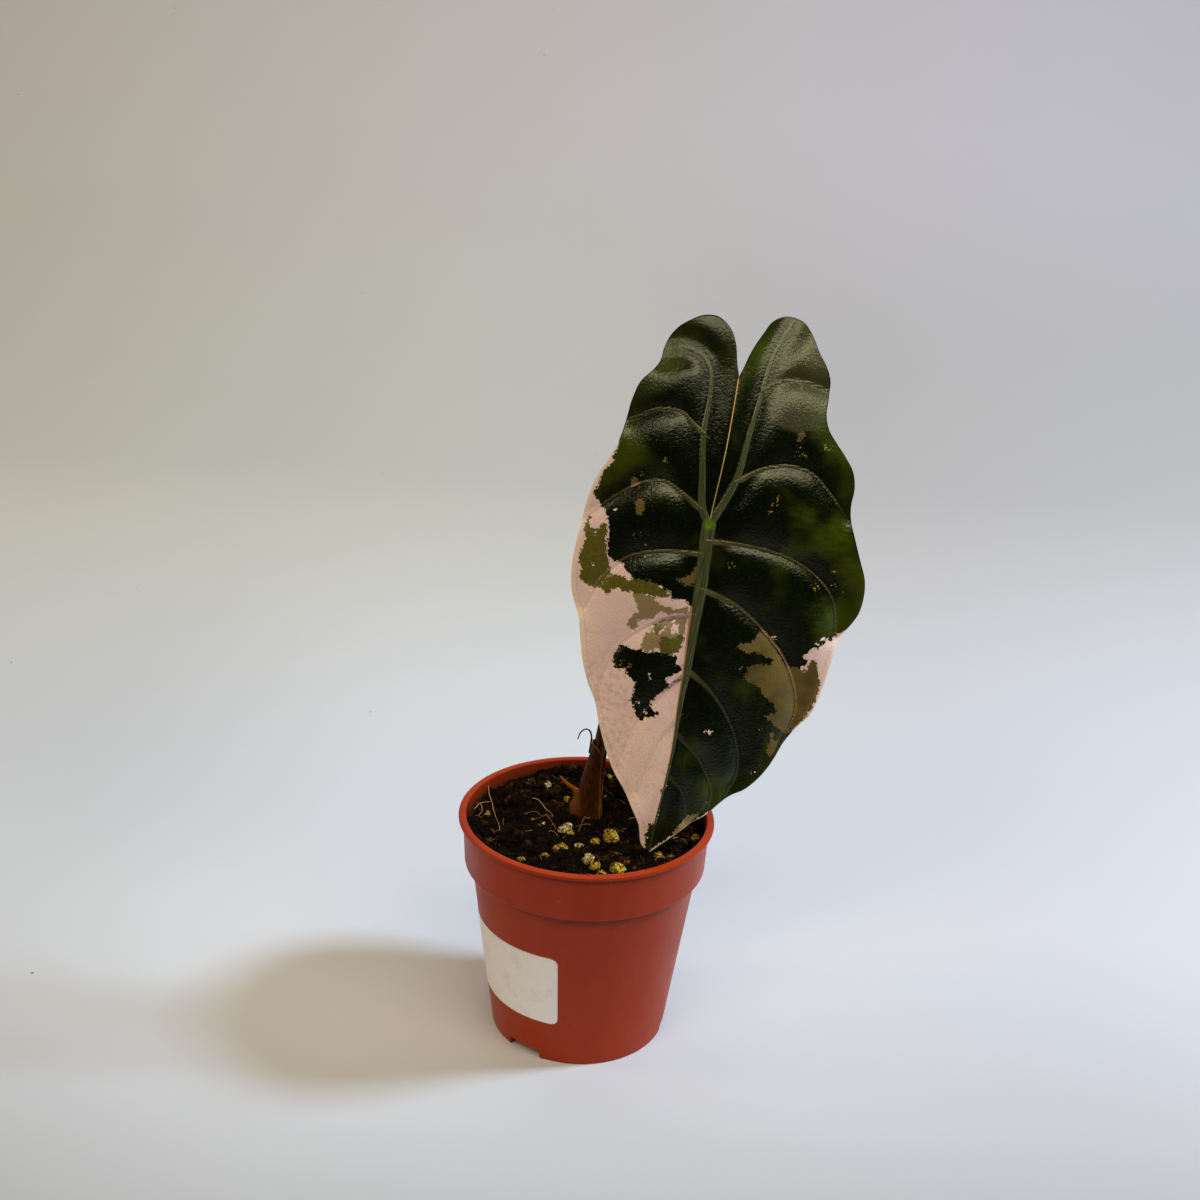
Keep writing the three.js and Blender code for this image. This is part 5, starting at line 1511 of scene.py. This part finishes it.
def blade_patches():
    """The blade's flat layout: four patches between an inner and an outer line of stations."""
    rib_steps = SUTURE_STEPS + LOBE_STEPS
    midrib = stations(MIDRIB, 0, 1, MIDRIB_STEPS)
    suture = stations(SUTURE, 0, 1, SUTURE_STEPS)
    patches = []
    for rib, edge, lobe in ((LEFT_RIB, LEFT_EDGE, LEFT_LOBE), (RIGHT_RIB, RIGHT_EDGE, RIGHT_LOBE)):
        rib_line = stations(rib, 0, 1, rib_steps)
        beside = curve(MIDRIB)[1][-1]
        turn = beside / (beside + curve(rib)[1][-1])
        edge_line = np.vstack([stations(edge, 0, turn, MIDRIB_STEPS), stations(edge, turn, 1, rib_steps)[1:]])
        lobe_line = stations(lobe, 0, 1, LOBE_STEPS)[::-1]
        shares = np.linspace(0, 1, OUTER_STEPS + 1) ** RIB_CROWDING
        patches.append((np.vstack([midrib, rib_line[1:]]), edge_line, shares))
        patches.append((rib_line, np.vstack([suture, lobe_line[1:]]), np.linspace(0, 1, INNER_STEPS + 1)))
    return patches


def blade_net():
    """Flat corners of the blade and its faces, each turning to the left seen from its upper side."""
    places, faces = [], []
    start = 0
    for inner, outer, shares in blade_patches():
        grid = inner[:, None] + (outer - inner)[:, None] * shares[None, :, None]
        places.append(grid.reshape(-1, 2))
        faces.append(np.array(grid_faces(len(inner), len(shares))) + start)
        start += grid.shape[0] * grid.shape[1]
    places, faces = np.vstack(places), np.vstack(faces)
    keys = np.round(places * 2000).astype(np.int64)
    _, kept, merged = np.unique(keys, axis=0, return_index=True, return_inverse=True)
    places, faces = places[kept], merged.ravel()[faces]
    clean = []
    for face in faces.tolist():
        ring = [corner for i, corner in enumerate(face) if corner != face[i - 1]]
        if len(set(ring)) < 3:
            continue
        x, y = places[ring, 0], places[ring, 1]
        area = np.dot(x, np.roll(y, -1)) - np.dot(y, np.roll(x, -1))
        if abs(area) > 1e-6:
            clean.append(ring if area > 0 else ring[::-1])
    return places, clean


def open_edges(faces):
    """Edges that only one face has, in that face's direction."""
    edges = {(a, b) for face in faces for a, b in zip(face, face[1:] + face[:1])}
    return [(a, b) for a, b in edges if (b, a) not in edges]


class Blade:
    """Distances on the blade from each flat place to its ribs, veins and edge, and its two surfaces."""

    def __init__(self, places):
        self.places = places
        routes = [stations(rib, 0, 1, RIB_SAMPLES) for rib in (MIDRIB, LEFT_RIB, RIGHT_RIB)]
        ribs = [nearest_on(places, route) for route in routes]
        fades = [ribs[0][1], 1 - ribs[1][1], 1 - ribs[2][1]]
        self.rib_distance = [rib[0] for rib in ribs]
        self.rib_fade = fades
        widths = [table_value(MIDRIB_WIDTHS, fades[0])]
        widths += [LOBE_RIB_END_WIDTH + LOBE_RIB_TAPER * fade for fade in fades[1:]]
        scaled = np.array([rib[0] / width for rib, width in zip(ribs, widths)])
        nearest_rib = np.argmin(scaled, axis=0)
        pick = np.arange(len(places))
        self.rib = scaled[nearest_rib, pick]
        self.rib_strength = np.array(fades)[nearest_rib, pick]
        self.rib_side = self.rib * np.array([rib[2] for rib in ribs])[nearest_rib, pick]
        veins = [nearest_on(places, stations(vein, 0, 1, VEIN_SAMPLES)) for vein in SIDE_VEINS]
        self.vein_distance = [vein[0] for vein in veins]
        near = np.array(self.vein_distance)
        nearest_vein = np.argmin(near, axis=0)
        self.vein = near[nearest_vein, pick]
        self.vein_share = [vein[1] for vein in veins]
        along = np.array(self.vein_share)[nearest_vein, pick]
        side = np.array([vein[2] for vein in veins])[nearest_vein, pick]
        self.vein_along = along
        upward = np.sign(places[:, 0] - 1)
        self.over_vein = [vein[0] * vein[2] * upward for vein in veins]
        flare = 0.5 * along / VEIN_FLARE * np.exp(1 - along / VEIN_FLARE)
        pinch = VEIN_START_PINCH * np.exp(-((along / VEIN_START_LENGTH) ** 2))
        line_width = VEIN_WIDTH - VEIN_TAPER * along + flare - pinch
        self.vein_side = np.clip(self.vein * side * upward / line_width, -5, 5)
        self.suture = nearest_on(places, stations(SUTURE, 0, 1, SUTURE_SAMPLES))[0]
        parts = (LEFT_EDGE, LEFT_LOBE, RIGHT_EDGE, RIGHT_LOBE)
        edges = [stations(part, 0, 1, EDGE_SAMPLES) for part in parts]
        self.margin = np.min([nearest_on(places, edge)[0] for edge in edges], axis=0)

    def height(self):
        """Height of the upper face over the blade's own plane."""
        across, along = self.places.T
        fall = np.tan(np.where(across < 0, FALL_LEFT, FALL_RIGHT))
        side = fall * (np.hypot(across, RIDGE_ROUNDING) - RIDGE_ROUNDING)
        bend = 1 / TOP_BEND_LEFT + (1 / TOP_BEND_RIGHT - 1 / TOP_BEND_LEFT) * smooth_step(across, -8, 8)
        top = np.maximum(0, along - TOP_BEND_START) ** 2 / 2 * bend
        low = np.minimum(0, along - LOW_BEND_START) ** 2 / (2 * LOW_BEND_RADIUS)
        swell = np.full(len(across), SWELL_HEIGHT)
        for distance in self.rib_distance:
            swell *= 1 - np.exp(-((np.maximum(0, distance - RIB_HALF_WIDTH) / SWELL_REACH) ** 2))
        for i, (distance, over) in enumerate(zip(self.vein_distance, self.over_vein)):
            above = 0 if i in TOP_VEINS else REACH_ABOVE_VEIN - VEIN_REACH
            reach = VEIN_REACH + above * smooth_step(over, -1, 1.5)
            swell *= 1 - np.exp(-((np.hypot(distance, 0.3) / reach) ** 1.15))
        return swell - side - top - low + self.relief()

    def relief(self):
        """Fine relief of the upper face: flat ribs with grooves beside them, creased veins, quilting."""
        strength = smooth_step(self.rib_strength, 0.05, 0.6)
        plateau = RIB_PLATEAU * strength * smooth_step(self.rib, 1.1, 0.75)
        groove = -GROOVE_DEPTH * strength * np.exp(-(((self.rib - 1.3) / 0.3) ** 2))
        valley = np.zeros(len(self.places))
        for distance, share in zip(self.vein_distance, self.vein_share):
            valley -= VALLEY_DEPTH * (1 - 0.75 * share) * np.exp(-np.hypot(distance, 0.6) / VALLEY_REACH)
        valley *= smooth_step(self.rib, 0.9, 2.2)
        seam = -SUTURE_DEPTH * np.exp(-((self.suture / 0.7) ** 2))
        places = in_space(self.places)
        calm = smooth_step(self.rib, 1, 2.5) * smooth_step(self.vein, 0.3, 2)
        quilt = QUILTING * lumpy(places, 3.2, SEED + 91) + FINE_QUILTING * lumpy(places, 1.5, SEED + 92)
        wave = EDGE_WAVE * smooth_step(self.margin, 6, 0) * lumpy(places, 11, SEED + 93)
        return plateau + groove + valley + seam + calm * quilt + wave

    def depth(self):
        """Thickness, with the ribs and veins that stand out of the underside."""
        thin = MARGIN_THICKNESS + (BLADE_THICKNESS - MARGIN_THICKNESS) * smooth_step(self.margin, 0, 3)
        depth = thin.copy()
        fulls = (MIDRIB_DEPTH, LOBE_RIB_DEPTH, LOBE_RIB_DEPTH)
        for distance, fade, full in zip(self.rib_distance, self.rib_fade, fulls):
            rounded_rib = np.sqrt(np.maximum(0, 1 - (distance / (RIB_REACH * (0.25 + 0.75 * fade))) ** 2))
            depth = np.maximum(depth, thin + full * np.sqrt(fade) * rounded_rib)
        vein = SIDE_VEIN_DEPTH * (1 - self.vein_along) * np.exp(-((self.vein / 0.8) ** 2))
        return np.maximum(depth, thin + vein)


def fleck_depth(places, flecks):
    """Depth inside whichever of the round flecks holds each flat place most deeply."""
    spots = [radius - np.hypot(places[:, 0] - x, places[:, 1] - y) for x, y, radius in flecks]
    return np.max(spots, axis=0)


def marking_values(blade):
    """Attributes that the leaf's materials read, for each flat corner."""
    places = blade.places
    return {
        "flat": in_space(places),
        "rib": np.minimum(blade.rib, 9),
        "rib_side": np.clip(blade.rib_side, -9, 9),
        "vein": np.minimum(blade.vein, 12),
        "vein_side": blade.vein_side,
        "vein_along": blade.vein_along,
        "suture": np.minimum(blade.suture, 9),
        "margin": np.minimum(blade.margin, 20),
        "pink": deepest(places, (PINK_LEFT, PINK_RIGHT, PINK_TIP)),
        "star": depth_inside(places, PINK_STAR),
        "lobe": depth_inside(places, LOBE_SAGE_AND_SHEEN),
        "olive": deepest(places, (OLIVE_MARGIN, OLIVE_LONG, OLIVE_ROUND)),
        "sage": deepest(places, (SAGE_BRANCHED, SAGE_INNER, SAGE_TIP)),
        "tan": np.maximum(
            deepest(places, (TAN_TRIANGLE, TAN_RIGHT, TAN_OUTER, TAN_SMALL, TAN_SPECK, TAN_FLECK)),
            fleck_depth(places, TAN_FLECKS),
        ),
        "island": depth_inside(places, GREEN_ISLAND),
        "cream_fleck": fleck_depth(places, CREAM_FLECKS),
        "yellow_fleck": fleck_depth(places, YELLOW_FLECKS),
        # Painted sheen patches.
        "pale": fleck_depth(places, PAINTED_SHEEN_PATCHES),
    }


def green_paint(look, palette, flat, cloud, grain):
    """The green half: near black, with random lighter clouds and painted light: sheen near the margin, ripple
    shading in streaks low on the blade, and pale sheen patches.
    """
    # Painted sheen: the green is lit towards the margin.
    margin_sheen = look.ranged(look.value("margin"), 14, 1)
    lit = look.sum(look.ranged(cloud, 0.35, 0.8), look.times(margin_sheen, 0.6))
    # Painted shading of ripples: lighter streaks low on the blade.
    streaks = look.noise(look.places("flat", (1, 0.22, 1)), 3.4, 2)
    low = look.ranged(look.axis(flat, "Y"), -40, -60, 0, 0.22)
    lit = look.sum(lit, look.times(look.ranged(streaks, 0.5, 0.72), low))
    # Painted sheen: paler green patches.
    mottled = look.noise(look.places("flat", (0.35, 1, 1)), 2.4, 4, 0.6)
    mottled = look.ranged(mottled, 0.3, 0.7, 0.5, 1.15)
    pale = look.times(look.ranged(look.value("pale"), -4, 7), mottled)
    lit = look.sum(lit, look.times(pale, 0.9))
    green = look.mix(look.ranged(lit, 0.35, 1.5), palette["green"], palette["green_lit"])
    return look.lay(green, palette["green_lit"], look.ranged(grain, 0.5, 0.8), 0.2)


def pink_paint(look, palette, flat, cloud, grain):
    """The pink half: creamier at the margin, with lilac pores, blotches and mottles, and painted lighter low
    on the blade against the shade there.
    """
    lilac = look.ranged(look.noise(flat, 10, 3), 0.4, 0.65, 0, 0.7)
    pink = look.mix(lilac, palette["pink"], palette["lilac"])
    cream_edge = look.ranged(look.sum(look.value("margin"), look.times(cloud, 3)), 5.5, 1.5)
    pink = look.lay(pink, palette["cream"], cream_edge, 0.55)
    pink = look.lay(pink, palette["cream"], look.ranged(grain, 0.5, 0.75), 0.3)
    # Painted light: the pink is lighter towards the tip, where the bent blade falls into shade.
    low = look.ranged(look.axis(flat, "Y"), -45, -80, 0, 0.6)
    pink = look.mix(low, pink, palette["pink_painted_light"])
    pores = look.ranged(look.noise(flat, 0.6, 3, 0.6), 0.45, 0.7)
    pink = look.lay(pink, palette["lilac_deep"], pores, 0.4)
    blotches = look.ranged(look.noise(flat, 3.2, 5, 0.7), 0.54, 0.72)
    pink = look.lay(pink, palette["lilac_deep"], blotches, 0.45)
    outer = look.ranged(look.axis(flat, "X"), -7, -16)
    outer_low = look.times(outer, look.ranged(look.axis(flat, "Y"), -44, -58, 0, 0.6))
    mottles = look.ranged(look.noise(flat, 1.9, 5, 0.68), 0.46, 0.62)
    return look.mix(look.times(outer_low, mottles), pink, palette["lilac_deep"])


def yellow_flecks(look, flat):
    """Which places the scattered yellow dots cover."""
    dots = look.cells(flat, 0.7)
    chosen = look.ranged(look.axis(dots.node.outputs["Color"], "Y"), 0.42, 0.46)
    flecks = look.times(look.ranged(dots, 0.40, 0.28), chosen)
    return look.times(flecks, look.ranged(look.value("yellow_fleck"), -0.9, 0.2))


def marking_colours(look, palette, flat, grain):
    """The leaf's markings in one palette, laid over each other with ragged edges."""
    blocks = look.cells(flat, 0.62, "Color")
    ragged = look.sum(look.times(look.axis(blocks, "X"), 0.9), -0.45)
    drift = look.sum(look.times(look.noise(flat, 1.6, 2), 1.6), -0.8)
    shift = look.sum(ragged, drift)

    def inside(name, blur=0.07, loose=1.0):
        depth = look.sum(look.value(name), look.times(shift, loose))
        return look.ranged(depth, -blur, blur)

    cloud = look.noise(flat, 20, 3)
    green = green_paint(look, palette, flat, cloud, grain)
    pink = pink_paint(look, palette, flat, cloud, grain)
    speckle = look.ranged(look.noise(flat, 0.5, 2), 0.66, 0.74)
    sage = look.lay(palette["sage"], palette["tan"], speckle, 0.5)
    olive = look.lay(palette["olive"], palette["olive_lit"], look.ranged(grain, 0.4, 0.7), 0.6)
    tan = look.mix(look.ranged(look.noise(flat, 7, 3), 0.35, 0.7), palette["tan"], palette["tan_dark"])

    # The right lobe's patch: sage variegation and painted sheen, with cloudy edges.
    lobe = look.ranged(look.sum(look.value("lobe"), look.times(cloud, 2)), -0.3, 1.5)
    colour = look.lay(green, palette["lobe"], lobe, 0.75)
    colour = look.mix(inside("pink"), colour, pink)
    colour = look.mix(inside("sage", 0.12), colour, sage)
    colour = look.mix(inside("tan", 0.1), colour, tan)
    colour = look.mix(inside("olive"), colour, olive)
    colour = look.mix(inside("star"), colour, pink)
    colour = look.mix(inside("island"), colour, green)
    colour = look.mix(inside("cream_fleck", 0.12, 1.1), colour, palette["cream"])
    return look.mix(yellow_flecks(look, flat), colour, palette["yellow"])


def side_vein_lines(look, colour, palette, along, pinkish):
    """The side veins over the markings, each with a shaded line under it."""
    vein_side = look.value("vein_side")
    vein_along = look.value("vein_along")
    elsewhere = look.sum(look.value("vein"), -1.6)
    on_vein = look.sum(look.size_of(vein_side), elsewhere, "MAXIMUM")
    under_vein = look.sum(look.size_of(look.sum(vein_side, 1.5)), elsewhere, "MAXIMUM")
    shade = look.times(look.ranged(under_vein, 0.9, 0.2), look.between(pinkish, 0.45, 0.08))
    colour = look.mix(shade, colour, palette["shade"])

    vein_colour = look.mix(pinkish, palette["vein"], palette["vein_pink"])
    vein_colour = look.mix(look.ranged(look.value("tan"), -0.9, -0.3), vein_colour, palette["vein_tan"])
    vein_colour = look.mix(look.ranged(vein_along, 0.12, 0.03), vein_colour, palette["rib_light"])
    base_of_vein = look.ranged(vein_along, 0.42, 0.12)
    vein_colour = look.mix(look.times(base_of_vein, pinkish), vein_colour, palette["vein_mauve"])
    fade = look.ranged(vein_along, 0.55, 1.0, 0.95, 0.35)
    fade = look.times(fade, look.ranged(along, -42, -66, 1, 0.28))
    on_pink = look.between(base_of_vein, 0.3, 0.9)
    faint = look.times(fade, look.mix(pinkish, (0.95, 0.95, 0.95), on_pink))
    return look.lay(colour, vein_colour, look.ranged(on_vein, 1.15, 0.6), faint)


def rib_lines(look, colour, palette, along, pinkish):
    """The midrib and the lobe ribs, streaked along, with a reddish fringe where they cross the pink."""
    side = look.value("rib_side")
    streak_places = look.node("CombineXYZ")
    look.feed(streak_places.inputs["X"], look.times(side, 3.5))
    look.feed(streak_places.inputs["Y"], look.times(along, 0.12))
    streaks = look.noise(streak_places.outputs[0], 1.0, 3)
    rib_colour = look.mix(look.ranged(streaks, 0.38, 0.65), palette["rib"], palette["rib_light"])
    colour = look.mix(look.ranged(look.value("rib"), 1.1, 0.9), colour, rib_colour)
    fringe = look.ranged(look.size_of(look.sum(side, -1.08)), 0.28, 0.1)
    fringe = look.times(fringe, look.times(look.ranged(along, -24, -28), pinkish))
    return look.mix(fringe, colour, palette["fringe"])


def joint_seam_and_margin(look, colour, palette, flat, along, pinkish):
    """The dot over the petiole, the seam between the lobes and the thin margin, pale on the pink and painted
    dark shade on the green.
    """
    joint = look.node("VectorMath", operation="LENGTH")
    look.feed(joint.inputs[0], flat)
    colour = look.lay(colour, palette["joint"], look.ranged(joint.outputs["Value"], 2.7, 0.5), 0.9)
    seam = look.times(look.ranged(look.value("suture"), 0.24, 0.1), look.ranged(along, 1, 3))
    seam_colour = look.mix(look.ranged(along, 8, 38), palette["seam_low"], palette["seam_high"])
    colour = look.mix(seam, colour, seam_colour)

    margin = look.value("margin")
    marginal_vein = look.ranged(look.size_of(look.sum(margin, -1.7)), 0.35, 0.1)
    colour = look.lay(colour, palette["vein_pink"], look.times(marginal_vein, pinkish), 0.2)
    thin_edge = look.ranged(look.sum(margin, look.times(look.noise(flat, 2, 2), 0.5)), 0.7, 0.35)
    # Thin margin: cream on the pink, painted shade on the green.
    return look.lay(colour, look.mix(pinkish, palette["shade"], palette["cream"]), thin_edge, 0.7)


def leaf_look(name, side, roughness, wrinkle):
    """One side of the leaf: its markings, ribs and veins, its fine net of wrinkles and its gloss."""
    palette = {key: colours[side] for key, colours in LEAF_PAINTS.items()}
    look = Look(name, roughness=roughness, specular=0.62)
    look.surface.inputs["Specular Tint"].default_value = (0.9, 1, 0.74, 1)
    flat = look.places("flat")
    along = look.axis(flat, "Y")
    grain = look.noise(flat, 1.3, 4, 0.6)
    pinkish = look.ranged(look.value("pink"), -0.3, 0.3)
    colour = marking_colours(look, palette, flat, grain)
    colour = side_vein_lines(look, colour, palette, along, pinkish)
    colour = rib_lines(look, colour, palette, along, pinkish)
    colour = joint_seam_and_margin(look, colour, palette, flat, along, pinkish)
    net = look.cells(flat, 1.5, feature="DISTANCE_TO_EDGE")
    normal = look.bump(look.ranged(net, 0.0, 0.25), 0.03 * wrinkle)
    normal = look.bump(look.noise(flat, 0.7, 4, 0.62), 0.10 * wrinkle, normal)
    normal = look.bump(grain, 0.04 * wrinkle, normal)
    ridge = look.ranged(look.value("vein"), 0.7, 0.15)
    normal = look.bump(ridge, 0.16 * wrinkle, normal)
    rough = look.ranged(look.noise(flat, 6, 3), 0.3, 0.7, roughness - 0.03, roughness + 0.04)
    rough = look.sum(rough, look.ranged(along, 10, 38, 0, 0.08))
    return look.finish(colour, rough, normal)


def make_leaf():
    """The leaf: a thin closed sheet with ribs on its underside and a rounded margin."""
    places, faces = blade_net()
    blade = Blade(places)
    count = len(places)
    upper = blade.height()
    lower = upper - blade.depth()
    border = open_edges(faces)
    outward = np.zeros((count, 2))
    for a, b in border:
        step = places[b] - places[a]
        push = np.array((step[1], -step[0])) / np.linalg.norm(step)
        outward[a] += push
        outward[b] += push
    ring = sorted({corner for edge in border for corner in edge})
    ring_at = {corner: 2 * count + i for i, corner in enumerate(ring)}
    push = outward[ring] / np.maximum(np.linalg.norm(outward[ring], axis=1), 1e-9)[:, None]
    rim_flat = places[ring] + MARGIN_ROUNDING * push
    rim_height = (upper[ring] + lower[ring]) / 2
    flat = np.vstack([places, places, rim_flat])
    height = np.concatenate([upper, lower, rim_height])
    across, along, out = blade_axes()
    corners = BLADE_JOINT + flat[:, :1] * across + flat[:, 1:] * along + height[:, None] * out
    all_faces = faces + [[count + i for i in face[::-1]] for face in faces]
    slots = [0] * len(faces) + [1] * len(faces)
    for a, b in border:
        all_faces.append([b, a, ring_at[a], ring_at[b]])
        all_faces.append([ring_at[b], ring_at[a], count + a, count + b])
        slots += [0, 0]
    values = {key: np.concatenate([v, v, v[ring]]) for key, v in marking_values(blade).items()}
    looks = [
        leaf_look("leaf_front", 0, FRONT_ROUGHNESS, FRONT_WRINKLE),
        leaf_look("leaf_back", 1, BACK_ROUGHNESS, BACK_WRINKLE),
    ]
    leaf = make_piece("leaf_sheet", corners, all_faces, looks, crease=50, face_slots=slots, values=values)
    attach(leaf, "root")
    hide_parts("leaf_blade")


make_camera()
make_lights()
make_backdrop()
make_pot()
make_label()
mix_look = soil_look()
make_soil_bed(mix_look)
make_crumbs(mix_look)
make_grains()
make_chips()
make_fibres()
make_petiole()
make_cataphyll()
make_old_sheath()
dress_rootstock()
make_leaf()
